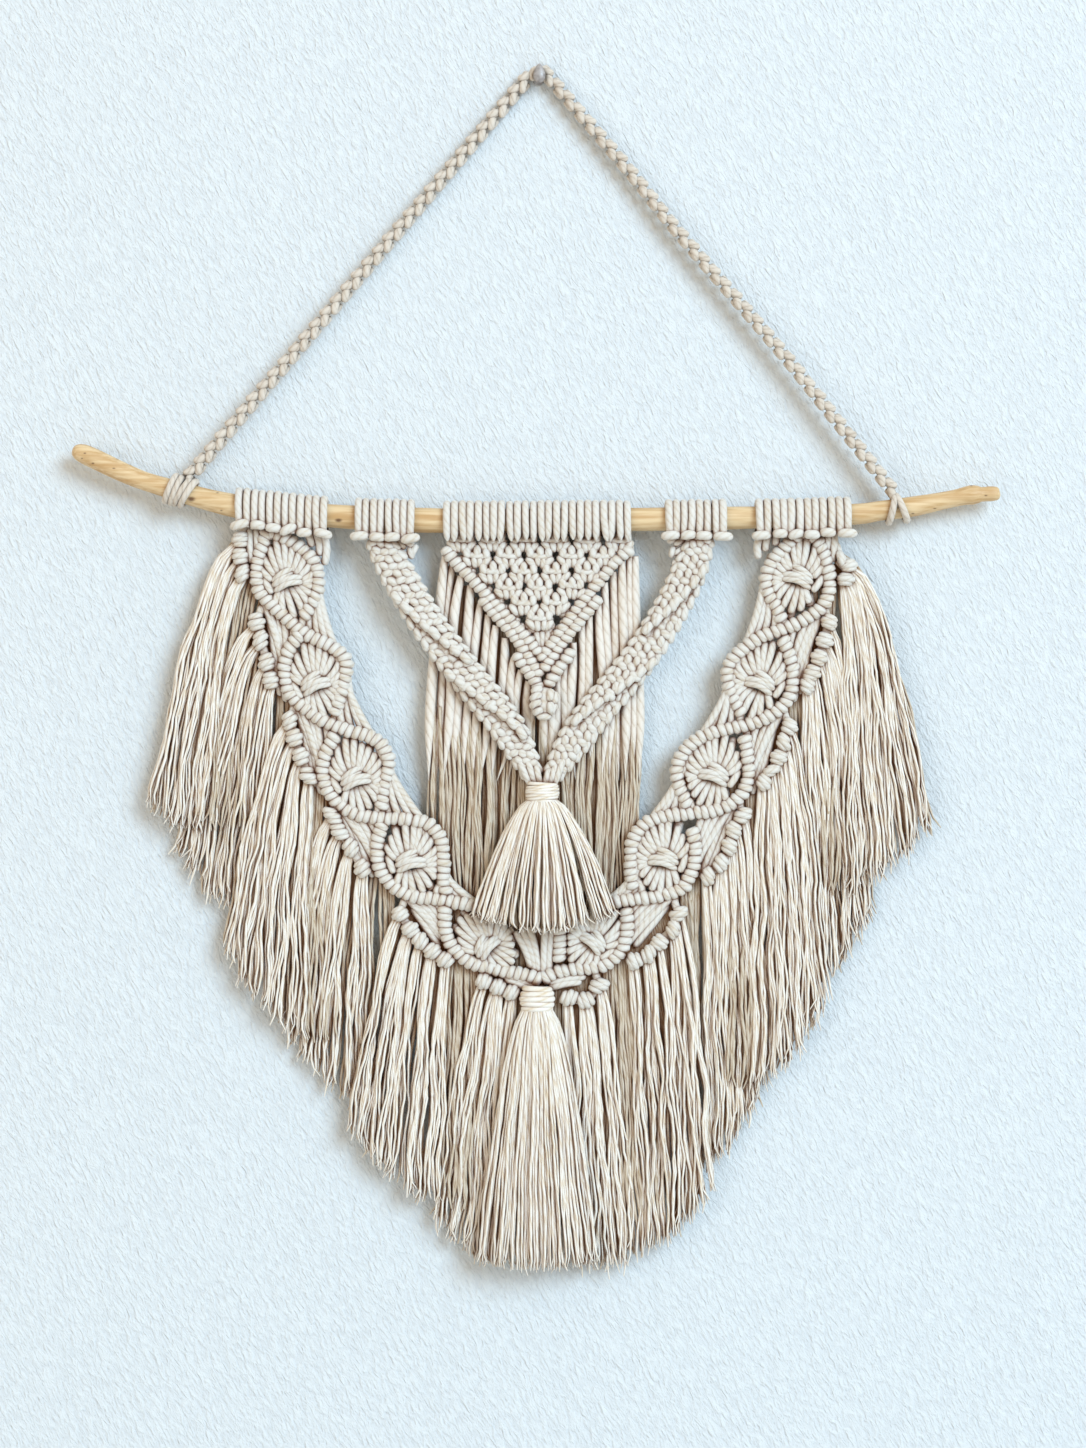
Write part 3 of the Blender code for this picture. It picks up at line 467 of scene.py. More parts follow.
def cotton(name, lit, shade, crevice_shade, plies, lay, depth, hollow, groove_shading=0.42):
    """Spun cotton, plied, with soft fibres. Painted shade darkens its ply grooves and paints it browner
    the deeper it lies between the cords.
    """
    material, start, shader = finish_of(
        name, 0.92, Sheen_Weight=0.25, Sheen_Roughness=0.6, Specular_IOR_Level=0.2,
    )
    twist = start.node("ShaderNodeUVMap", {"uv_map": "twist"})
    run, turn, _ = twist.axes()
    tone = start.node("ShaderNodeAttribute", {"attribute_name": "tone"}, output=2)
    ply = abs(((turn - run / lay) * (math.pi * plies)).sine())
    grained = start.node("ShaderNodeCombineXYZ", None, {0: run * 0.35, 1: turn * 15.0, 2: tone * 90.0})
    fibres = grained.noise(1.0, 3.0)
    slow = start.node("ShaderNodeCombineXYZ", None, {0: run * 0.03, 1: tone * 70.0, 2: 0.0})
    patches = slow.noise(1.0, 1.0)
    # Painted shade in the ply grooves, mixed with random fibres, patches and each cord's own tone, picks
    # between the shade and lit colours.
    groove_shade_and_tone = (ply ** 0.6) * groove_shading + fibres * 0.45 + patches * 0.3 + tone * 0.14 + (0.02 - groove_shading)
    yarn_colour = groove_shade_and_tone.stepped(-0.15, 0.55).between(shade, lit)
    # Painted shade: where ambient occlusion finds other cords within hollow, the brown crevice colour is
    # mixed into the base colour.
    openness = start.node(
        "ShaderNodeAmbientOcclusion", {"samples": 6}, {"Distance": hollow * MM}, output=1,
    )
    start.feed(shader.inputs["Base Color"], openness.stepped(0.18, 0.95).between(crevice_shade, yarn_colour))
    height = (ply ** 0.5) * 0.75 + fibres * 0.35
    start.feed(shader.inputs["Normal"], height.relief(0.8, depth * MM))
    return material


def astray(spread, *shape):
    """Random amounts either way, as no two turns of a hand-tied cord are the same."""
    return chance.normal(0.0, spread, shape)


def rod_at(x):
    """Height of the branch's centre line, and its radius there."""
    height, diameter = rows_at(ROD_ROWS[:, 1:], ROD_ROWS[:, 0], x).T
    return height, diameter / 2


def in_turn(count):
    """1 and -1 in turn, for cords that go left and right."""
    return np.where(np.arange(count) % 2 == 0, 1.0, -1.0)[:, None]


def capsules(starts, ends, radius, bulge=0.0, bow=0.0, places=9, sides=7, blunt=5.0):
    """Short round-ended cords from starts to ends that bulge forwards and bow sideways."""
    starts, ends = np.asarray(starts, float), np.asarray(ends, float)
    share = 0.5 - 0.5 * np.cos(np.linspace(0.02, 1.0 - 0.02, places) * np.pi)
    aside = unit(np.cross(ends - starts, (0.0, 1.0, 0.0)))
    bulge = np.broadcast_to(bulge, len(starts))[:, None, None]
    bow = np.broadcast_to(bow, len(starts))[:, None, None]
    swell = np.sin(np.pi * share)[None, :, None]
    paths = starts[:, None] + (ends - starts)[:, None] * share[None, :, None]
    paths = paths + swell * (np.array((0.0, -1.0, 0.0)) * bulge + aside[:, None] * bow)
    profile = np.maximum(1.0 - np.abs(2.0 * share - 1.0) ** blunt, 0.0) ** 0.5
    radius = np.broadcast_to(np.asarray(radius, float), len(starts))[:, None] * profile[None, :]
    return strands(paths, radius, sides)


def loops(centres, directions, reach, thickness, width=1.0, lean=0.0, depth=1.0, sides=7, places=14):
    """Closed turns of cord round a line. Each leans by an angle, as seen from the front."""
    centres, directions = np.asarray(centres, float), unit(np.asarray(directions, float))
    lean = np.broadcast_to(np.asarray(lean, float), len(centres))[:, None]
    front = np.array((0.0, -1.0, 0.0))
    aside = np.cross(directions, front)
    normal = directions * np.cos(lean) + aside * np.sin(lean)
    upward = unit(np.cross(normal, front))
    angle = 2 * np.pi * np.arange(places) / places
    reach = np.broadcast_to(np.asarray(reach, float), len(centres))[:, None, None]
    paths = centres[:, None] + reach * (
        upward[:, None] * np.cos(angle)[None, :, None]
        + depth * front[None, None] * np.sin(angle)[None, :, None]
    )
    return strands(paths, thickness, sides, facing=normal[:, None, :], flat=width, closed=True)


def evenly(points, pitch):
    """Places at about this pitch along the smooth line through the points, and its directions there."""
    points = np.asarray(points, float)
    length = np.linalg.norm(np.diff(drawn_through(points, 60), axis=0), axis=1).sum()
    line = drawn_through(points, max(int(round(length / pitch)) + 1, 3))
    return line, unit(np.gradient(line, axis=0))


hanger_cotton = cotton("hanger_cotton", TAUPE_LIT, TAUPE_SHADE, TAUPE_CREVICE_SHADE, 3, 16.0, 0.4, 5.0, 0.3)
hanger_runs = []
turn = np.radians(np.linspace(165.0, 15.0, 15))
over_hook = at(HANGER_TOP_R * np.cos(turn), HANGER_TOP_Y, HOOK_STEM_Z + HANGER_TOP_R * np.sin(turn))
hanger_runs.append(strands([over_hook], HANGER_CORD_R, 9))
for points, pitch, length, half_width, lean in HANGER_LEGS:
    line, ahead = evenly(points, pitch)
    count = len(line)
    depth = np.linspace(HANGER_TOP_Y, ROD_Y - 2.0, count)
    side = in_turn(count)
    aside = np.column_stack([-ahead[:, 1], ahead[:, 0]])
    middle = line + aside * side * half_width
    wander = astray(0.12, count, 2)
    upper = middle - ahead * length / 2 - aside * side * lean + wander
    lower = middle + ahead * length / 2 + aside * side * lean * 0.6 + wander
    starts, ends = at_depth(upper, depth + 0.9), at_depth(lower, depth - 0.4)
    hanger_runs.append(capsules(starts, ends, LINK_R, bulge=1.3, bow=side[:, 0] * -0.7))
    hanger_runs.append(strands([at_depth(line, depth + 0.6)], LINK_CORE_R, 6))
    behind, half = at_depth(middle, depth + 2.2), at_depth(ahead, 0.0) * BACK_LINK
    hanger_runs.append(capsules(behind + half, behind - half, LINK_R * 0.9, bulge=-0.8))
for low_x, high_x, turns, lean in HANGER_TURNS:
    x = np.linspace(low_x + HANGER_CORD_R, high_x - HANGER_CORD_R, turns)
    z, radius = rod_at(x)
    slope = (rod_at(x + 1.0)[0] - rod_at(x - 1.0)[0]) / 2.0
    hanger_runs.append(loops(
        at(x, ROD_Y, z), at(1.0, 0.0, slope), radius + 0.5 + HANGER_CORD_R, HANGER_CORD_R, 1.1,
        lean=lean + astray(0.07, turns), places=26, sides=9,
    ))
made_piece("hanger_cord", hanger_runs, hanger_cotton, "hanger_cord", "hanger")


# ---------------------------------------------------------------- lark's heads on the branch
# Each working cord of thick natural cotton is folded in half over the branch, and its two ends are
# drawn through the fold. That leaves pairs of upright cords with a short cross loop below them.

# The shade colour goes into the ply grooves and the crevice colour between the cords, both as painted
# shade.
CORD_LIT, CORD_SHADE = linear(224, 220, 211), linear(198, 172, 132)
CORD_CREVICE_SHADE = linear(126, 72, 28)
BUNDLES = {  # from x, to x, folded cords, size of the cross loops, how far they sit below the branch
    "band_left": (-196.6, -136.6, 6, 1.0, 5.6),
    "sinnet_left": (-119.0, -80.3, 4, 1.0, 5.2),
    "panel_centre": (-62.0, 60.1, 12, 0.0, 0.0),
    "sinnet_right": (82.2, 121.9, 4, 1.0, 5.2),
    "band_right": (140.7, 202.8, 6, 1.0, 5.6),
}
HEAD_CLEARANCE, HEAD_DEPTH = 0.6, 2.2
HEAD_TURN, HEAD_PLACES, DROP_PLACES = (-2.0, 236.0), 18, 5  # how far round the branch, in degrees
HEAD_FOOT = 5.5  # how far the folded cords come down below the branch
FOLD_THIN = (0.25, 0.8, 0.97)  # how the ends of the cords that aren't crossed thin out
CROSS_R, CROSS_BACK = 3.0, 2.2


def lark_heads(node):
    low_x, high_x, heads, crossed, below = BUNDLES[node]
    count = heads * 2
    pitch = (high_x - low_x) / count
    x = low_x + (np.arange(count) + 0.5) * pitch + astray(0.12, count)
    z, radius = rod_at(x)
    reach = radius + HEAD_CLEARANCE + HEAD_DEPTH + chance.uniform(0.0, 0.5, count)
    turn = np.radians(np.linspace(*HEAD_TURN, HEAD_PLACES))
    arc_y = ROD_Y - reach[:, None] * np.cos(turn)
    arc_z = z[:, None] + reach[:, None] * np.sin(turn)
    foot = z - radius - HEAD_FOOT - chance.uniform(0.0, 1.2, count)
    fall = np.linspace(1.0, 0.0, DROP_PLACES, endpoint=False)[None, :]
    drop_z = z[:, None] + (foot - z)[:, None] * fall
    drop_y = arc_y[:, :1] + 1.6 * fall**2
    sway = astray(0.6, count, 1)
    drawn = np.concatenate([fall, np.zeros((1, HEAD_PLACES))], axis=1)
    paths = at(
        x[:, None] + drawn * (in_turn(count) * 0.3 + sway),
        np.concatenate([drop_y, arc_y], axis=1),
        np.concatenate([drop_z, arc_z], axis=1),
    )
    thick = HEAD_DEPTH * chance.uniform(0.95, 1.07, (count, 1)) * np.ones((1, drawn.size))
    if not crossed:
        thick[:, :3] *= FOLD_THIN
    width = pitch / 2 * 1.01 / HEAD_DEPTH
    runs = [strands(paths, thick, 9, facing=(1.0, 0.0, 0.0), flat=width)]
    if crossed:
        middle = x.reshape(heads, 2).mean(axis=1)
        z, radius = rod_at(middle)
        level = z - radius - below + astray(0.7, heads)
        front = ROD_Y - radius - HEAD_CLEARANCE - HEAD_DEPTH - 1.8
        half = chance.uniform(4.2, 5.0, heads)
        tilt = astray(0.8, heads)
        half[[0, -1]] += 1.4
        middle[[0, -1]] += (-1.6, 2.2)
        starts = at(middle - half, front + CROSS_BACK, level - tilt)
        ends = at(middle + half, front + CROSS_BACK, level + tilt)
        runs.append(capsules(starts, ends, CROSS_R, bulge=CROSS_BACK, bow=0.5, places=11, sides=9))
    return runs


knotted_cotton = cotton("knotted_cotton", CORD_LIT, CORD_SHADE, CORD_CREVICE_SHADE, 3, 16.0, 0.55, 6.0, 0.22)
for node in BUNDLES:
    made_piece("heads_" + node, lark_heads(node), knotted_cotton, "knotted_cord", node)


# ---------------------------------------------------------------- side bands
# Two bands of five linked rings. Bars of double half hitches outline each ring: one cord carries the
# turns of all the others. Inside a ring the cords are gathered under two crossing ties.

BAR_R, TURN_R = 5.1, 3.0
BEAD_PITCH, TURN_GAP, CARRIER_SHARE = 9.2, 4.3, 0.62
TURN_LEAN = {"band_left": 0.24, "band_right": -0.24}
BAR_Y = -17.0
BARS = {  # centre line of each bar, as x, z
    "band_left": (
        ((-173, -297), (-165, -300), (-156, -306), (-149, -312), (-144, -320), (-143, -332),
         (-147, -343), (-152, -350)),
        ((-177, -298), (-181, -310), (-183, -323), (-181, -335), (-173, -344), (-161, -355),
         (-149, -364), (-136, -370), (-126, -378), (-125, -388), (-128, -400), (-132, -413)),
        ((-156, -364), (-163, -375), (-165, -388), (-161, -402), (-151, -411), (-138, -420),
         (-122, -426), (-110, -429), (-101, -436), (-97, -447), (-100, -460), (-102, -474)),
        ((-133, -430), (-139, -442), (-140, -455), (-135, -467), (-122, -478), (-106, -482),
         (-87, -483), (-72, -486), (-64, -495), (-62, -507), (-62, -519), (-60, -529)),
        ((-102, -487), (-105, -500), (-103, -515), (-95, -526), (-81, -533), (-64, -535),
         (-48, -538), (-36, -541)),
        ((-61, -542), (-60, -557), (-54, -568), (-44, -576), (-30, -580), (-14, -583),
         (-0.5, -586.5)),
    ),
    "band_right": (
        ((170, -297), (163, -304), (154, -313), (148, -324), (149, -335), (154, -344), (157, -352)),
        ((176, -296), (183, -305), (187, -316), (189, -330), (185, -344), (173, -353),
         (160, -359), (146, -364), (131, -374), (123, -385), (124, -398), (131, -413)),
        ((159, -367), (164, -381), (165, -395), (160, -408), (148, -417), (134, -422),
         (116, -426), (102, -432), (92, -443), (90, -456), (96, -473)),
        ((134, -431), (136, -444), (136, -457), (130, -469), (118, -476), (101, -479),
         (82, -481), (68, -487), (61, -498), (60, -511), (61, -526)),
        ((100, -491), (102, -503), (100, -516), (92, -528), (77, -533), (60, -535), (42, -538)),
        ((57, -543), (57, -557), (53, -569), (42, -578), (26, -580), (12, -582.5), (4.2, -586)),
        ((14, -556), (13.5, -573)),
    ),
}
RINGS = {  # centre x and z, size of the gathered cords, turn of the whole ring in degrees
    "band_left": (
        (-163.5, -327.5, 1, 0), (-145, -394.5, 1, 4), (-119, -456.5, 1, 0),
        (-83, -510, 1.02, -6), (-34, -565, 0.94, 30),
    ),
    "band_right": (
        (168.5, -325.5, 1, 0), (144, -394, 1, -4), (114, -453.5, 1, 0),
        (81, -508.5, 1, 6), (36, -562, 0.92, -24),
    ),
}
GATHERED = (  # cords of a left ring, from x, z to x, z round its centre, and their bow
    (-17.5, 8, -8.6, -0.4, -0.7), (-14.6, 14.6, -6.8, 1.4, -0.9), (-11.8, 21, -4.4, 2.4, -0.8),
    (-6.8, 27.5, -1.6, 3.4, -0.5), (-1.2, 27, -0.4, 4, 0.1), (4.2, 24.5, 0.8, 4, 0.3),
    (9, 20.5, 3, 4, 0.6), (13, 17, 5, 3.4, 0.7), (17, 13, 7.4, 1.4, 0.8),
    (18.6, 7, 9.2, -0.4, 0.6), (19, 0.8, 10.6, -2, 0.3), (-15.6, 2, -9.2, -9.4, -0.7),
    (-4.6, -6, -7.4, -17.5, -0.4), (-2.6, -5.4, -1.6, -22.5, -0.2), (-0.6, -5, 5, -25, 0.4),
    (2.2, -4.6, 10, -20.5, 0.7), (5, -4, 14, -15.5, 0.8), (7.8, -3.2, 16.4, -10, 0.8),
    (9.6, -2.6, 17.6, -5, 0.5),
)
GATHERED_R, TIE_R = 2.7, 2.15
GATHERED_BACK, GATHERED_WIDER = 3.2, 1.14  # a second layer of the same cords behind
TIES = (  # x and z at both ends and in the middle
    ((-9.8, -3.4), (-2.6, 2.4), (4.8, 6.2)),
    ((-8.8, -6.8), (1, -1), (12, 0.2)),
)
TIE_LIFT = 4.4
FLOATS = (  # from bar, from share, to share; to bar, from share, to share; bow, cords, slack
    (0, 0.50, 0.98, 1, 0.70, 0.52, -2.2, 5, 0), (1, 0.70, 0.97, 2, 0.68, 0.50, -2.6, 5, 0),
    (2, 0.70, 0.97, 3, 0.68, 0.49, -3, 5, 0), (3, 0.66, 0.97, 4, 0.99, 0.74, -7.5, 5, 0),
    (1, 0.27, 0.47, 2, 0.27, 0.05, 0.6, 5, 1), (2, 0.27, 0.46, 3, 0.26, 0.05, 0.8, 5, 1),
    (3, 0.26, 0.44, 4, 0.40, 0.08, 1, 5, 1), (4, 0.42, 0.68, 5, 0.34, 0.05, 1.4, 5, 1),
)
HEAD_FLOATS = {  # x, z of both ends, bow, of single cords under the lark's heads and the lowest bars
    "band_left": (
        (-141, -296, -139.5, -318, 2.6), (-146, -295, -142.5, -312, 1.8),
        (-151, -295, -147, -306, 0.6), (-187.5, -294, -186, -317, -0.6),
        (-183, -294, -181.5, -312, -0.4), (-25, -583.5, -2, -592, 0.8),
        (-22, -586.5, -4, -594.5, 0.8), (-15.6, -556, -4.4, -580, 1.6),
        (-11, -554, -2.2, -582, 1.4), (-6.4, -553, 0, -583, 1),
    ),
    "band_right": (
        (146, -297, 143.5, -314, -2.6), (151, -296, 147.5, -309, -1.4),
        (156, -296, 154, -305, -0.6), (192, -296, 190.5, -316, 0.6),
        (187.5, -296, 187, -309, 0.4), (31, -585, 6, -589.5, -0.8),
        (28, -588.5, 7, -592.5, -0.8), (9.6, -552, 6.6, -585, -0.8),
        (5, -552, 3.4, -586, -0.6),
    ),
}
FLOAT_R = 2.7
EDGE_CORDS = {  # x, z of both ends of the cords that pass outside the rings
    "band_left": (
        (-176, -346, -168, -403), (-171.5, -350, -164, -407),
        (-156, -410, -145, -462), (-151.5, -414, -141, -467),
        (-131, -471, -112, -516), (-126, -474, -107.5, -521),
        (-121, -477, -106, -513), (-82, -540, -64.5, -566),
        (-77, -540, -63, -561), (-72, -539, -62.5, -555),
    ),
    "band_right": (
        (177, -346, 170, -402), (172.5, -350, 166, -407),
        (154, -413, 142, -463), (149.5, -416, 138.5, -467),
        (128, -472, 110, -517), (123, -475, 105, -521),
        (118, -478, 104, -512), (84, -538, 62, -566),
        (78.5, -539, 60.5, -561), (73, -538, 59.5, -555),
    ),
}
EDGE_CORD_BACK = 3.8


def laid(table, y, radius, forward=0.0, **shape):
    """Round-ended cords from a table of x and z at both ends, with the far ends a little forward."""
    table = np.asarray(table, float)
    return capsules(at_depth(table[:, :2], y), at_depth(table[:, 2:4], y - forward), radius, **shape)


def hitched_bar(points, y, reach, lean):
    """Turns of cord set two by two along a hidden carrier cord."""
    line, ahead = evenly(points, BEAD_PITCH / 2)
    pairs = in_turn(len(line))
    step = np.linalg.norm(line[1] - line[0])
    line = line + ahead * pairs * (step - TURN_GAP) / 2
    line = line + astray(0.16, *line.shape)
    centres = at_depth(line, y)
    grown = reach - TURN_R + astray(0.16, len(line))
    lean = lean + astray(0.07, len(line))
    turns = loops(centres, at_depth(ahead, 0.0), grown, TURN_R, lean=lean)
    return [turns, strands([centres], reach * CARRIER_SHARE, 8)]


def gathered_ring(centre_x, centre_z, size, degrees, mirrored):
    """The cords inside one ring, and the two ties across them."""
    def place(points, y):
        points = np.asarray(points, float) * (mirrored * size, size)
        angle = math.radians(degrees)
        x = points[:, 0] * math.cos(angle) - points[:, 1] * math.sin(angle)
        z = points[:, 0] * math.sin(angle) + points[:, 1] * math.cos(angle)
        return at(centre_x + x, y, centre_z + z)

    table = np.array(GATHERED) + astray(0.35, len(GATHERED), 5)
    starts = place(table[:, 0:2], BAR_Y + 1.5)
    ends = place(table[:, 2:4], BAR_Y - 0.5)
    bow = table[:, 4] * mirrored * size
    runs = [capsules(starts, ends, GATHERED_R, bulge=1.6, bow=bow, places=11, blunt=12.0)]
    table = np.array(GATHERED[::2]) * GATHERED_WIDER
    starts = place(table[:, 0:2], BAR_Y + GATHERED_BACK + 1.0)
    ends = place(table[:, 2:4], BAR_Y + GATHERED_BACK)
    runs.append(capsules(starts, ends, GATHERED_R * 1.3, places=7, sides=6, blunt=12.0))
    for tie, lift in zip(TIES, (TIE_LIFT, TIE_LIFT + 0.5)):
        for offset in (-0.5, 0.5):
            knots = np.array(tie) + (0.0, offset * 3.0)
            depths = BAR_Y + np.array((-0.6, -lift, -0.4))
            line = drawn_through(place(knots, depths), 14)
            share = np.linspace(-1.0, 1.0, 14)
            runs.append(strands([line], [TIE_R * (1.0 - np.abs(share) ** 6) ** 0.5], 8))
    return runs


def between_bars(bars, floats):
    """Cords side by side that leave one bar and go under the next."""
    runs = []
    for bar, first, last, onto, enter, leave, bow, cords, slack in floats:
        paths = []
        for number, begin, end in ((bar, first, last), (onto, enter, leave)):
            line = drawn_through(bars[number], 60)
            share = np.linspace(begin, end, cords) * 59
            paths.append(rows_at(line, np.arange(60), share))
        starts, ends = (flat + astray(0.4, *flat.shape) for flat in paths)
        depth = BAR_Y + 2.0 + slack + astray(0.4, cords)
        starts, ends = at_depth(starts, depth), at_depth(ends, depth)
        mirrored = 1.0 if bars[0][0][0] < 0 else -1.0
        swell = -bow * mirrored * np.linspace(1.0, 0.5, cords) + astray(0.25, cords)
        runs.append(capsules(
            starts, ends, FLOAT_R, bulge=1.6, bow=-swell, places=18, sides=8, blunt=20.0,
        ))
    return runs


for node in ("band_left", "band_right"):
    mirrored = 1.0 if node == "band_left" else -1.0
    runs = []
    for points in BARS[node]:
        runs += hitched_bar(points, BAR_Y, BAR_R, TURN_LEAN[node])
    for ring in RINGS[node]:
        runs += gathered_ring(*ring, mirrored)
    runs += between_bars(BARS[node], FLOATS)
    single = np.array(HEAD_FLOATS[node])
    runs.append(laid(
        single, BAR_Y + 1.5, FLOAT_R, bulge=1.4, bow=single[:, 4], places=12, sides=8, blunt=14.0,
    ))
    edge = EDGE_CORDS[node]
    bow = astray(0.6, len(edge))
    runs.append(laid(
        edge, BAR_Y + EDGE_CORD_BACK, FLOAT_R, bulge=1.6, bow=bow, places=14, sides=8, blunt=20.0,
    ))
    made_piece("rings_" + node, runs, knotted_cotton, "knotted_cord", node)


# ---------------------------------------------------------------- centre panel
# A net of alternating square knots, six in the top row and one in the last, held by three V-shaped bars
# of double half hitches. A braided berry bead closes its tip.

NET_TOP, NET_PITCH_X, NET_PITCH_Z, NET_CENTRE_X, NET_ROWS = -303.0, 20.4, 10.15, 0.9, 6
NET_Y = -16.0
KNOT_CORDS = (  # x, z of both ends in the knot; how far forward they start, end and swell; radius
    (-6.4, 6.8, -5.6, -0.2, 0.6, 1.8, 1.4, 2.9), (-0.2, 7.2, 0.1, 0.4, 0.8, 2.2, 1.4, 2.85),
    (6.2, 6.6, 5.5, -0.4, 0.6, 1.8, 1.4, 2.9), (-8.6, 0.4, -3.6, -5.8, 1, 0.2, 1.6, 2.8),
    (8.5, 0.2, 3.5, -6, 1, 0.2, 1.6, 2.8), (-2.2, 0.4, -1.3, -6.6, 2, 0.4, 1.2, 2.6),
    (2.6, 0.2, 1.8, -6.4, 2, 0.4, 1.2, 2.5), (-8.8, 1.4, 8.6, 0.4, 0.4, 0.4, 2.6, 2.4),
)
NET_LEGS = (  # from a knot's lower corner to the next knot's upper corner
    (-2.4, -5.6, -8.4, -6.6), (-4.4, -3.6, -9.8, -4.4), (2.4, -5.6, 8.4, -6.6), (4.4, -3.6, 9.8, -4.4),
)
LEG_R, LEG_Y, LEG_BACK, LEG_BACK_R = 2.6, NET_Y + 1.0, 2.6, 3.3
TIP_CORDS = ((-1.6, -359.5, 0.4, -373.0), (2.6, -359.0, 2.6, -375.5), (6.6, -359.5, 5.2, -372.0))
V_BAR_R = 4.6
V_BARS = (  # x, z of the ends; lean of their turns
    ((-59.5, -308.5), (-53, -316.5), (-28, -343.5), (2.3, -377.5), 0.3),
    ((58.2, -308.5), (50, -315.5), (30, -340), (5.5, -374), -0.3),
    ((-35, -341.5), (-27, -351), (-12, -369), (-0.5, -388), 0.3),
    ((38, -340.5), (29.5, -350.5), (17, -366), (4.5, -384.5), -0.3),
    ((-13, -377.5), (-9, -384), (-4.5, -390), (0, -397), 0.3),
    ((20.5, -375), (15, -382.5), (10.5, -388), (7, -395), -0.3),
)
V_BAR_Y = -17.5
BEAD_X, BEAD_Z, BEAD_Y = 3.5, -406.5, -19.0
BEAD_HALF = (8.4, 6.2, 9.4)
BEAD_CORDS = (  # x, z of both ends on the bead, bow
    (-7.6, 5.4, -1.4, 8.2, 0.9), (-8.6, 0.6, -1.4, 4.4, 1.2), (-8.4, -4.2, -1.2, -0.6, 1.2),
    (-6.4, -8.2, -0.6, -5.4, 0.9), (4, 7.8, 3.4, 0.4, 0.5), (8, 5.6, 7.6, -1.4, -0.8),
    (4.2, -0.4, 3.6, -7.6, 0.4), (8.2, -2, 5, -8.4, -0.9), (-4.2, -9.4, 4.4, -9.4, -0.6),
)
BEAD_CORD_R = 2.7


def flat_cords(table, centre_x, centre_z, y):
    """Short cords from a table of ends, depths and radii, round one centre."""
    table = np.array(table)
    ends = table[:, :4] + astray(0.4, len(table), 4)
    starts = at(centre_x + ends[:, 0], y - table[:, 4], centre_z + ends[:, 1])
    stops = at(centre_x + ends[:, 2], y - table[:, 5], centre_z + ends[:, 3])
    bow = astray(0.25, len(table))
    return capsules(starts, stops, table[:, 7], bulge=table[:, 6], bow=bow, places=9)


runs = []
for row in range(NET_ROWS):
    knots = NET_ROWS - row
    for column in range(knots):
        x = NET_CENTRE_X + (column - (knots - 1) / 2) * NET_PITCH_X
        z = NET_TOP - row * NET_PITCH_Z
        runs.append(flat_cords(KNOT_CORDS, x, z, NET_Y))
        legs = np.array(NET_LEGS) + (x, z, x, z)
        runs.append(laid(legs, LEG_Y, LEG_R, bulge=0.6, places=7))
        runs.append(laid(legs, LEG_Y + LEG_BACK, LEG_BACK_R, places=7))
runs.append(laid(TIP_CORDS, LEG_Y, LEG_R, bulge=0.8))
for *points, lean in V_BARS:
    runs += hitched_bar(points, V_BAR_Y, V_BAR_R, lean)
for first, _, _, last, lean in V_BARS[:2]:
    reach = np.linspace(0.12, 0.93, 15)[:, None]
    feet = np.array(first) + (np.array(last) - np.array(first)) * reach
    tops = feet + (math.copysign(3.4, lean), 4.4)
    runs.append(laid(np.hstack([feet, tops]), LEG_Y, LEG_R, bulge=0.8, places=7))
bead = np.array(BEAD_CORDS) + astray(0.2, len(BEAD_CORDS), 5)
dome = np.sqrt(np.maximum(1.0 - (bead[:, 0:4:2] / 10.4) ** 2 - (bead[:, 1:4:2] / 11.5) ** 2, 0.02))
starts, ends = (
    at(BEAD_X + bead[:, 2 * i], BEAD_Y - 5.0 * dome[:, i], BEAD_Z + bead[:, 2 * i + 1]) for i in (0, 1)
)
runs.append(capsules(starts, ends, BEAD_CORD_R, bulge=1.6, bow=bead[:, 4], places=10))
core_z = np.linspace(1.0, -1.0, 13)
core = at(BEAD_X, BEAD_Y, BEAD_Z + core_z * BEAD_HALF[2])
core_radius = BEAD_HALF[0] * np.sqrt(np.maximum(1.0 - core_z**4, 0.004))
runs.append(strands([core], [core_radius], 18, flat=BEAD_HALF[1] / BEAD_HALF[0]))
made_piece("net_panel", runs, knotted_cotton, "knotted_cord", "panel_centre")


# ---------------------------------------------------------------- sinnets
# Two wide woven bands that run from their own lark's heads to the upper tassel. Each turns over twice on
# the way: there the band that comes to the front has its edge across the one that goes behind.

SINNETS = {  # centre line of the band, as x, z
    "sinnet_left": ((-104, -300), (-100, -309), (-92, -323), (-76, -350), (-58, -375), (-39, -399),
                    (-21, -422), (-10, -441), (-3, -456)),
    "sinnet_right": ((106, -299), (103, -309), (98, -322), (88, -343), (73, -368), (54, -393),
                     (36, -414), (21, -435), (8.5, -455.5)),
}
BAND_Y, BAND_HALF_WIDTH, BAND_HALF_THICKNESS, BAND_CORE = -18.5, 9.0, 1.9, 3.5
BAND_TAPER = ((0.0, 0.70), (0.06, 0.85), (0.14, 1.0), (0.82, 1.0), (0.93, 0.72), (1.0, 0.42))
WEAVE_ROW, WEAVE_COLUMNS = 5.5, (-0.56, 0.0, 0.56)
WEAVE_R, WEAVE_LENGTH = 3.1, 8.4
EDGE_PITCH, EDGE_LENGTH, EDGE_R = 8.2, 9.2, 2.9
FOLDS = {  # share of the length where a fold starts and ends, from the outer edge across to the inner
    "sinnet_left": ((0.20, 0.58), (0.52, 0.90)),
    "sinnet_right": ((0.10, 0.42), (0.46, 0.84)),
}
FOLD_FRONT, FOLD_BACK = 2.6, 2.8


def along_band(line, ahead, place, across, depth):
    """Points on a flat band: place in steps of the line, across from -1 to 1, depth in front of it."""
    steps = np.arange(len(line))
    toward = unit(rows_at(ahead, steps, place))
    half = BAND_HALF_WIDTH * np.interp(place / steps[-1], *np.array(BAND_TAPER).T)
    aside = np.column_stack([-toward[:, 1], toward[:, 0]])
    spots = rows_at(line, steps, place) + aside * (across * half)[:, None]
    return at_depth(spots, BAND_Y - depth), toward, aside


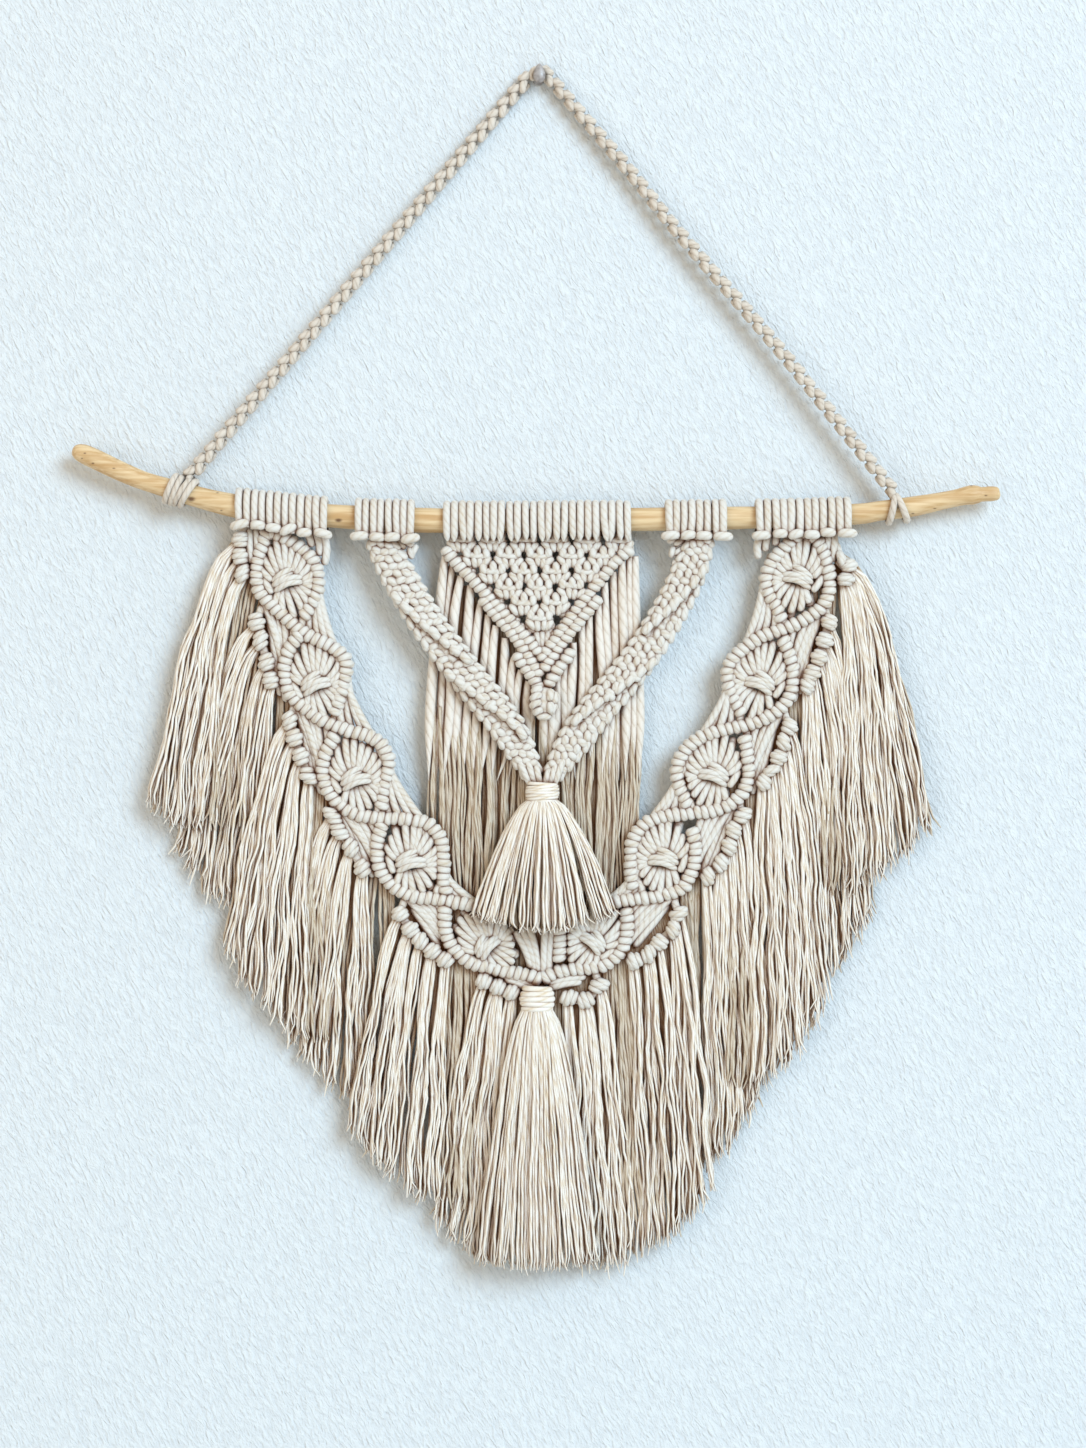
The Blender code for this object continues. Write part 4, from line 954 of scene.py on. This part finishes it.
def fold_step(shares, across, folds, outer):
    """How far forward or back the band lies, where it turns over."""
    lift = np.zeros(len(shares))
    for begin, end in folds:
        reach = (shares - begin) / (end - begin)
        within = (reach > 0.0) & (reach < 1.0)
        edge = -outer * (1.0 - 2.0 * reach)
        gap = (across - edge) * -outer
        front = np.exp(-np.clip(-gap, 0.0, None) * 1.6) * FOLD_FRONT
        back = np.exp(-np.clip(gap, 0.0, None) * 1.3) * -FOLD_BACK
        turned = np.where(gap < 0.0, front, back) * np.sin(np.pi * reach) ** 0.4
        lift = np.where(within, turned, lift)
    return lift


def woven_band(node):
    line, ahead = evenly(SINNETS[node], 1.0)
    total = len(line) - 1
    outer = 1.0 if node == "sinnet_left" else -1.0
    runs = []
    for facing in (1.0, -1.0):
        rows = np.arange(2.0, total - 2.0, WEAVE_ROW)
        place = np.concatenate([rows + (k % 2) * WEAVE_ROW / 2 for k in range(len(WEAVE_COLUMNS))])
        across = np.repeat(WEAVE_COLUMNS, len(rows)) + astray(0.02, len(place))
        place = np.minimum(place + astray(0.25, len(place)), total - 0.5)
        lift = fold_step(place / total, across, FOLDS[node], outer)
        crown = BAND_HALF_THICKNESS * (1.0 - 0.35 * across**2)
        spots, toward, aside = along_band(line, ahead, place, across, facing * crown + lift)
        column = np.repeat(np.arange(len(WEAVE_COLUMNS)), len(rows))
        weave = (np.tile(np.arange(len(rows)), len(WEAVE_COLUMNS)) + column) % 2
        slant = np.where(weave == 0, 0.2, 2.4) + astray(0.15, len(place))
        lie = unit(aside + toward * slant[:, None])
        narrow = np.interp(place / total, *np.array(BAND_TAPER).T)[:, None]
        half = at_depth(lie, 0.0) * WEAVE_LENGTH / 2 * narrow
        sunk = np.array((0.0, facing * 0.9, 0.0))
        runs.append(capsules(
            spots - half + sunk, spots + half + sunk, WEAVE_R, bulge=facing * 1.7, places=8, blunt=4.0,
        ))
    edges = [(np.arange(1.0, total - 1.0, EDGE_PITCH), side, 0.0) for side in (-1.0, 1.0)]
    for begin, end in FOLDS[node]:
        place = np.arange(begin * total + 3.0, end * total - 3.0, EDGE_PITCH)
        crossing = (place / total - begin) / (end - begin)
        edges.append((place, outer * -(1.0 - 2.0 * crossing), FOLD_FRONT))
    for place, side, lift in edges:
        across = np.broadcast_to(side, len(place))
        first, last = place - EDGE_LENGTH / 2, place + EDGE_LENGTH / 2
        before, _, aside = along_band(line, ahead, np.clip(first, 0, total), across, lift)
        behind, _, _ = along_band(line, ahead, np.clip(last, 0, total), across, lift)
        outward = at_depth(aside, 0.0) * np.sign(across)[:, None]
        if np.ndim(side):
            drift = outer * EDGE_LENGTH / total
            before, _, aside = along_band(line, ahead, first, across - drift, lift + 1.4)
            behind, _, _ = along_band(line, ahead, last, across + drift, lift + 1.4)
            outward = outward * 0.0
        starts, ends = before - outward * 1.8, behind + outward * 1.4
        runs.append(capsules(starts, ends, EDGE_R, bulge=1.2, blunt=6.0))
    places = np.linspace(0, total, 60)
    core, _, _ = along_band(line, ahead, places, np.zeros(60), np.zeros(60))
    core_radius = BAND_HALF_WIDTH * np.interp(places / total, *np.array(BAND_TAPER).T) * 0.96
    runs.append(strands([core], [core_radius], 14, flat=BAND_CORE / BAND_HALF_WIDTH))
    return runs


SHOULDERS = {  # the woven corner behind the top of each band, as x, z of the ends of its cords
    "sinnet_left": (
        (-94, -302, -86, -307), (-88, -301, -81, -306), (-93, -308, -85, -312), (-84, -306, -82, -314),
        (-91, -314, -84, -319), (-88, -319, -83, -322), (-87, -325, -82, -330), (-85, -331, -79, -336),
        (-81, -337, -76, -342), (-79, -305, -83, -312),
    ),
    "sinnet_right": (
        (95, -301, 88, -305), (90, -300, 84, -303), (94, -307, 88, -311), (88, -306, 86, -313),
        (93, -314, 87, -318), (91, -320, 87, -324),
    ),
}
CONVERGING = {  # cords that run from the end of each band into the wrap
    "sinnet_left": ((-13, -444, -4.5, -462), (-8, -443, -1.5, -462), (-2, -447, 1.4, -462)),
    "sinnet_right": ((17, -442, 9.5, -462), (12, -446, 6.6, -462), (7, -450, 3.8, -462)),
}
SINNET_CORD_R, SHOULDER_BACK, CONVERGING_FRONT = 2.4, 2.4, 2.6
for node in SINNETS:
    runs = woven_band(node)
    runs.append(laid(SHOULDERS[node], BAND_Y + SHOULDER_BACK, SINNET_CORD_R, forward=0.5, bulge=1.6))
    runs.append(laid(CONVERGING[node], BAND_Y - CONVERGING_FRONT, SINNET_CORD_R, forward=0.5, bulge=1.6))
    made_piece("woven_" + node, runs, knotted_cotton, "knotted_cord", node)


# ---------------------------------------------------------------- tassels
# A bundle of cords combed out to yarn, bound with a smooth wrap of the same cotton. The upper one joins
# the two sinnets, and the lower one hangs from the tip of the side bands.

TASSELS = {  # middle x, top z, half width, height, y, depth share, turns of the wrap, their radius
    "tassel_upper": (2.5, -458.4, 10.8, 13.2, -22.6, 0.78, 7, 1.3),
    "tassel_lower": (-0.9, -590.6, 11.6, 16.6, -19.6, 0.70, 5, 2.1),
}
SKIRTS = {  # half width at the bottom, z of its sides and middle, depth, y at the bottom, flare, yarns
    "tassel_upper": (46.5, -544.0, -555.5, 9.0, -26.5, 0.66, 190),
    "tassel_lower": (39.0, -768.0, -775.0, 6.4, -21.0, 0.62, 170),
}
# The shade colour goes into the ply grooves and the crevice colour between the yarns, both as painted
# shade.
YARN_LIT, YARN_SHADE, YARN_CREVICE_SHADE = linear(241, 236, 226), linear(213, 188, 148), linear(138, 86, 32)
YARN_R, YARN_PLACES = 1.16, 26
YARN_WAVES = ((0.9, 95.0, True), (0.40, 47.0, False), (0.20, 19.0, False))  # size, length, whole bunch
FRAYED_FROM, FRAYED_APART, FRAYED_THINNER = 0.94, 1.9, 0.62


def hanging(roots, tips, flare, bunch, radius=YARN_R, waves=1.0):
    """Yarns that leave their knot sideways and then hang. Those of one bunch wave together."""
    roots, tips, bunch = np.asarray(roots, float), np.asarray(tips, float), np.asarray(bunch, int)
    count = len(roots)
    share = np.linspace(0.0, 1.0, YARN_PLACES) ** 0.9
    fall = share[None, :]
    flare = np.broadcast_to(flare, count)[:, None]
    across = fall ** flare
    length = np.linalg.norm(tips - roots, axis=1)[:, None]
    x = roots[:, :1] + (tips[:, :1] - roots[:, :1]) * across
    y = roots[:, 1:2] + (tips[:, 1:2] - roots[:, 1:2]) * np.sin(fall * np.pi / 2)
    z = roots[:, 2:] + (tips[:, 2:] - roots[:, 2:]) * fall
    loose = np.minimum(fall * length / 60.0, 1.0) * waves
    for amount, wave, shared in YARN_WAVES:
        phase = chance.uniform(0.0, 2 * np.pi, (bunch.max() + 1 if shared else count, 2))
        speed = chance.uniform(0.75, 1.3, len(phase))
        which = bunch if shared else np.arange(count)
        turning = 2 * np.pi * fall * length / wave * speed[which][:, None]
        begin_x, begin_y = phase[which, :1], phase[which, 1:]
        x = x + amount * loose * (np.sin(turning + begin_x) - np.sin(begin_x))
        y = y + amount * 0.6 * loose * (np.sin(turning * 0.9 + begin_y) - np.sin(begin_y))
    frayed = np.clip((fall - FRAYED_FROM) / (1.0 - FRAYED_FROM), 0.0, 1.0)
    x = x + frayed**2 * astray(FRAYED_APART, count, 1)
    thin = (1.0 - FRAYED_THINNER * frayed) * (1.0 - 0.22 * fall)
    swell = 1.0 + 0.10 * np.sin(fall * length / 9.0 + chance.uniform(0.0, 6.3, (count, 1)))
    thickness = radius * chance.uniform(0.82, 1.15, (count, 1)) * thin * swell
    tones = chance.random(bunch.max() + 1)[bunch] * 0.5 + chance.random(count) * 0.5
    return strands(at(x, y, z), thickness, 5, tones=tones)


yarn_cotton = cotton("yarn_cotton", YARN_LIT, YARN_SHADE, YARN_CREVICE_SHADE, 2, 26.0, 0.22, 5.0)


def tassel(node):
    middle, top, half, height, y, flat, turns, turn_r = TASSELS[node]
    skirt, side_z, middle_z, depth, bottom_y, flare, count = SKIRTS[node]
    levels = top - 1.0 - (np.arange(turns) + 0.5) * (height - 1.0) / turns
    centres = at(middle, y, levels)
    girth = half - turn_r - 1.2 * np.abs(np.linspace(-1.0, 1.0, turns)) ** 3 + astray(0.2, turns)
    lean = astray(0.05, turns)
    upward = [(0.0, 0.0, 1.0)]
    runs = [loops(centres, upward, girth, turn_r, 1.05, lean=lean, depth=flat, places=32, sides=9)]
    core = centres[[0, 0, -1, -1]] + np.array([(0, 0, 0.4), (0, 0, 0), (0, 0, 0), (0, 0, -0.4)])
    core_radius = np.array((0.2, half - 2.2, half - 2.2, 0.2))
    runs.append(strands([core], [core_radius], 24, flat=flat))
    angle = np.sort(chance.uniform(-0.62 * np.pi, 0.62 * np.pi, count))
    ring = chance.uniform(0.55, 1.0, count) ** 0.5
    neck = top - height + 1.5
    within = (half - 2.6) * ring
    roots = at(middle + within * np.sin(angle), y - within * flat * np.cos(angle), neck)
    wide = np.sin(angle) * ring
    hem = middle_z + (side_z - middle_z) * np.abs(wide) ** 1.6 + astray(1.3, count)
    tips = at(
        middle + skirt * wide + astray(0.9, count),
        bottom_y - depth * ring * np.cos(angle) + astray(0.9, count), hem,
    )
    runs.append(hanging(roots, tips, flare, np.arange(count) // 6, waves=0.7))
    return runs


for node in TASSELS:
    made_piece("yarn_" + node, tassel(node), yarn_cotton, "fringe_cord", node)


# ---------------------------------------------------------------- centre fringe
# The cords that leave under the V-shaped bars hang as ropes, come apart below the net, and end in a
# curtain of yarn behind everything else.

CURTAIN_ROPES = (  # x, z where each rope leaves its bar; x at its hem
    (-60.5, -312, -73), (-56, -318, -67), (-50, -325, -62), (-44, -331, -57),
    (-37.5, -343, -51), (-32.5, -350, -45), (-27.5, -357, -39), (-21.5, -365, -33),
    (-15.5, -378, -27), (-11, -386, -20), (-6, -393, -14), (-2.5, -410, -8),
    (3.5, -412, -1), (8.5, -409, 6), (12.5, -386, 12), (17, -379, 18),
    (22.5, -368, 24), (28, -357, 30), (33, -351, 36), (38.5, -342, 42),
    (43, -329, 47), (48.5, -322, 52), (54, -315, 57), (59.5, -311, 62),
    (63, -312, 66.5),
)
ROPE_R, ROPE_Y, CURTAIN_Y = 3.35, -11.5, -8.6
ROPE_END_Z, CURTAIN_OPEN_Z, CURTAIN_WIDEST_Z = -458.0, -424.0, -475.0
CURTAIN_HEM, CURTAIN_WIDTH, CURTAIN_YARNS = -716.0, 70.0, 9
CURTAIN_MIDDLE, CURTAIN_GATHER = -3.5, 0.9
BEHIND_YARNS, BEHIND_Y = 66, -7.0
# The curtain's colours are darker than the other cotton as painted shade, for it hangs behind everything
# else; the yarn behind the chains takes them too.
CURTAIN_LIT, CURTAIN_SHADE = linear(214, 202, 182), linear(166, 138, 100)
CURTAIN_CREVICE_SHADE = linear(126, 74, 22)
ROPE_LIT, ROPE_SHADE = linear(233, 225, 213), linear(200, 178, 150)


def swung(rope, z):
    """How far across the ropes hang at the height z."""
    leaves_x, leaves_z, hem_x = rope
    return leaves_x + (hem_x - leaves_x) * ((leaves_z - z) / (leaves_z - CURTAIN_WIDEST_Z)) ** 0.75


def bunched(count):
    """Where each yarn lies round the middle of its bunch, across and back."""
    spin = chance.uniform(0.0, 2 * np.pi, count)
    out = chance.uniform(0.2, 1.0, count) ** 0.5
    return out * np.cos(spin), out * np.sin(spin)


ropes = np.array(CURTAIN_ROPES)
hung = np.linspace(0.0, 1.0, 20)[None, :]
rope_z = ropes[:, 1:2] + (ROPE_END_Z - ropes[:, 1:2]) * hung
rope_x = swung(ropes.T[:, :, None], rope_z)
rope_x = rope_x + astray(1.7, len(ropes), 1) * np.sin(hung * np.pi)
rope_x = rope_x + astray(1.0, len(ropes), 1) * np.sin(hung * 2.3 * np.pi)
rope_y = np.where(hung < 0.12, BAR_Y + 3.0 + (ROPE_Y - BAR_Y - 3.0) * hung / 0.12, ROPE_Y)
rope_y = rope_y + astray(0.9, len(ropes), 1)
rope_radius = ROPE_R * np.interp(rope_z, (ROPE_END_Z, CURTAIN_OPEN_Z), (0.05, 1.0))
rope_radius = rope_radius * chance.uniform(0.92, 1.08, (len(ropes), 1))
rope_radius = rope_radius * np.interp(hung, (0.0, 0.18), (0.72, 1.0))
hung_ropes = [strands(at(rope_x, rope_y, rope_z), rope_radius, 9)]
rope_cotton = cotton("rope_cotton", ROPE_LIT, ROPE_SHADE, CORD_CREVICE_SHADE, 3, 27.0, 0.7, 5.0, 0.24)
made_piece("curtain_ropes", hung_ropes, rope_cotton, "fringe_cord", "fringe_centre")
runs = []
bunch = np.repeat(np.arange(len(ropes)), CURTAIN_YARNS)
round_x, round_y = bunched(len(bunch))
start_z = np.minimum(ropes[bunch, 1] - 8.0, CURTAIN_OPEN_Z + 14.0)
start_x = swung(ropes[bunch].T, start_z)
roots = at(start_x + 1.4 * round_x, ROPE_Y + 1.4 * round_y, start_z)
gathered = CURTAIN_MIDDLE + (ropes[bunch, 2] - CURTAIN_MIDDLE) * CURTAIN_GATHER
hem = CURTAIN_HEM + astray(4.0, len(bunch)) + 14.0 * np.abs(gathered / CURTAIN_WIDTH) ** 3
tips = at(
    gathered + 4.4 * round_x + astray(1.2, len(bunch)),
    CURTAIN_Y + 2.6 * round_y, hem,
)
runs.append(hanging(roots, tips, 0.8, bunch, waves=1.3))
behind_x = np.linspace(-0.98, 0.98, BEHIND_YARNS) + astray(0.006, BEHIND_YARNS)
behind_z = -317.0 - 68.0 * (1.0 - np.abs(behind_x))
roots = at(0.8 + behind_x * 61.0, BEHIND_Y, behind_z)
tips = at(CURTAIN_MIDDLE + behind_x * 64.0, BEHIND_Y + 1.0, CURTAIN_HEM + astray(5.0, BEHIND_YARNS))
runs.append(hanging(roots, tips, 0.8, np.arange(BEHIND_YARNS) // 4, radius=1.5, waves=1.0))
shade_darkened_cotton = cotton(
    "shade_darkened_cotton", CURTAIN_LIT, CURTAIN_SHADE, CURTAIN_CREVICE_SHADE, 2, 26.0, 0.22, 6.0,
)
made_piece("curtain", runs, shade_darkened_cotton, "fringe_cord", "fringe_centre")


# ---------------------------------------------------------------- side fringes
# Outside each ring the cords leave through a short chain of knots, and each knot lets go two or three of
# them. Below it they are combed out to yarn and cut on the slant.

CHAIN_BEAD_R, CHAIN_TURN_R, CHAIN_TURNS = 6.2, 2.4, 3
CHAIN_Y = -15.5
LINK = (3.5, 11.0)  # how far in and up the cord starts that ties a chain to its band
FRONT_Y, BACK_Y, INNER_BACK_Y = -15.5, -9.8, -11.6
FRINGES = (  # node, depth, knots of the chain, tips from the outer to the inner, bunches, flare
    ("fringe_left_1", FRONT_Y, ((-193.5, -301.5), (-193.8, -312.5), (-192.3, -323.5)),
     ((-253, -474), (-240, -484), (-226, -489), (-216, -487)), 11, 0.56),
    ("fringe_left_2", BACK_Y, ((-183, -355), (-180.5, -366.5), (-176.5, -381), (-173.8, -393)),
     ((-236, -503), (-222, -520), (-204, -541), (-182, -551)), 12, 0.60),
    ("fringe_left_3", FRONT_Y, ((-161.5, -419), (-158.5, -430), (-154.5, -442), (-149.2, -455)),
     ((-204, -564), (-190, -588), (-171, -611), (-151, -625)), 12, 0.62),
    ("fringe_left_4", BACK_Y, ((-134, -480.5), (-128.9, -491), (-122, -501.5), (-114.5, -515)),
     ((-174, -605), (-158, -632), (-136, -657), (-113, -672)), 12, 0.66),
    ("fringe_left_5", FRONT_Y,
     ((-90, -544.5), (-83.5, -554.5), (-77, -562), (-69, -568.5), (-60.5, -574)),
     ((-123, -681), (-105, -706), (-84, -725), (-62, -733)), 12, 0.68),
    ("fringe_left_6", INNER_BACK_Y, ((-35.5, -588), (-26.5, -592), (-17.5, -595.5)),
     ((-68, -742), (-54, -758), (-38, -770), (-20, -771)), 10, 0.72),
    ("fringe_right_1", FRONT_Y, ((196.5, -314), (201.5, -318), (199.5, -327)),
     ((253, -488), (241, -502), (222, -520), (199, -530)), 11, 0.50),
    ("fringe_right_2", BACK_Y, ((188.6, -355), (185.5, -367), (182, -378), (177.6, -388), (174.5, -396)),
     ((218, -541), (208, -558), (192, -584), (174, -600)), 12, 0.60),
    ("fringe_right_3", FRONT_Y, ((162.5, -422.5), (159, -433), (156, -443), (151, -451.5), (146, -459)),
     ((186, -600), (176, -622), (160, -644), (142, -655)), 12, 0.62),
    ("fringe_right_4", BACK_Y,
     ((132.5, -480.5), (127, -490), (124, -500.5), (118.5, -511.5), (109.5, -520)),
     ((149, -646), (140, -670), (124, -697), (107, -711)), 12, 0.66),
    ("fringe_right_5", FRONT_Y, ((91, -544.5), (87.5, -554), (78.5, -563), (71.5, -570.5), (62, -575.5)),
     ((111, -721), (99, -741), (84, -757), (66, -763)), 12, 0.68),
    ("fringe_right_6", INNER_BACK_Y, ((39.5, -591), (30.5, -600.5), (19.5, -599)),
     ((62, -767), (48, -772), (32, -775), (16, -771)), 10, 0.72),
)
BUNCH_YARNS = 7
BACK_YARNS, BACK_YARN_R, BACK_STEP, BACK_REACH = 36, 1.4, 2.0, 1.32  # a thinner layer behind
BACK_RISE = (6.5, 8.0)  # how far in and up from the chain this layer comes out


def knot_chain(knots):
    """Each knot is a few short turns side by side, whose cords run down."""
    knots = np.asarray(knots, float)
    ahead = unit(np.gradient(knots, axis=0))
    rank = np.arange(CHAIN_TURNS) - (CHAIN_TURNS - 1) / 2
    pitch = np.linalg.norm(np.diff(knots, axis=0), axis=1).mean() / (CHAIN_TURNS + 0.9)
    centres = (knots[:, None] + ahead[:, None] * rank[None, :, None] * pitch).reshape(-1, 2)
    centres = centres + astray(0.25, *centres.shape)
    centres = at_depth(centres, CHAIN_Y - 1.5)
    directions = np.repeat(at_depth(ahead, 0.0), CHAIN_TURNS, axis=0)
    drawn_in = np.tile(1.0 - 0.3 * np.abs(rank / rank[-1]) ** 2, len(knots))
    reach = (CHAIN_BEAD_R - CHAIN_TURN_R) * drawn_in * chance.uniform(0.92, 1.08, len(centres))
    lean = np.repeat(astray(0.3, len(knots)), CHAIN_TURNS)
    runs = [loops(centres, directions, reach, CHAIN_TURN_R, lean=lean)]
    core = drawn_through(at_depth(knots, CHAIN_Y), 24)
    runs.append(strands([core], 2.8, 8))
    inward = -np.sign(knots[0, 0])
    link = np.array([(knots[0, 0] + inward * LINK[0], CHAIN_Y + 1.0, knots[0, 1] + LINK[1])])
    runs.append(capsules(link, core[:1], 2.6, bulge=1.0))
    return runs


for node, depth, knots, tips, bunches, flare in FRINGES:
    made_piece(node.replace("fringe", "chain"), knot_chain(knots), knotted_cotton, "fringe_cord", node)
    share = (np.arange(bunches) + 0.5) / bunches
    knots, tips = np.array(knots, float), np.array(tips, float)
    which = np.clip((share * len(knots)).astype(int), 0, len(knots) - 1)
    outward = -1.0 if "left" in node else 1.0
    ending = rows_at(tips, np.linspace(0, 1, len(tips)), share)
    bunch = np.repeat(np.arange(bunches), BUNCH_YARNS)
    round_x, round_y = bunched(len(bunch))
    within = (share * len(knots)) % 1.0 - 0.5
    roots = at(
        knots[which[bunch], 0] - outward * within[bunch] * 5.0 + 1.3 * round_x,
        CHAIN_Y + 0.5 + 1.3 * round_y,
        knots[which[bunch], 1] - 2.0 + astray(0.4, len(bunch)),
    )
    ends = at(
        ending[bunch, 0] + 3.0 * round_x + astray(0.8, len(bunch)),
        depth + 2.6 * round_y + astray(0.5, len(bunch)),
        ending[bunch, 1] + astray(3.4, len(bunch)),
    )
    yarns = hanging(roots, ends, flare, bunch, waves=1.5)
    made_piece(node.replace("fringe", "yarn"), [yarns], yarn_cotton, "fringe_cord", node)
    share = np.linspace(0.02, BACK_REACH, BACK_YARNS)
    slots = np.arange(len(knots)) / (len(knots) - 1)
    beyond = np.maximum(share - 1.0, 0.0)[:, None]
    roots = rows_at(knots, slots, share)
    roots = roots + beyond * (-outward * 45.0, -12.0) + (-outward * BACK_RISE[0], BACK_RISE[1])
    ends = rows_at(tips, np.linspace(0, 1, len(tips)), share)
    ends = ends + beyond * (-outward * 50.0, -6.0) + astray(2.0, *ends.shape)
    roots = at_depth(roots, CHAIN_Y + 5.0)
    ends = at_depth(ends, depth + BACK_STEP)
    yarns = hanging(roots, ends, flare, np.arange(BACK_YARNS) // 3, radius=BACK_YARN_R, waves=1.2)
    # This layer is in the darker curtain cotton, painted shade for yarn that hangs behind.
    made_piece(node.replace("fringe", "under"), [yarns], shade_darkened_cotton, "fringe_cord", node)


# ---------------------------------------------------------------- size of the finished piece
low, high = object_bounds()
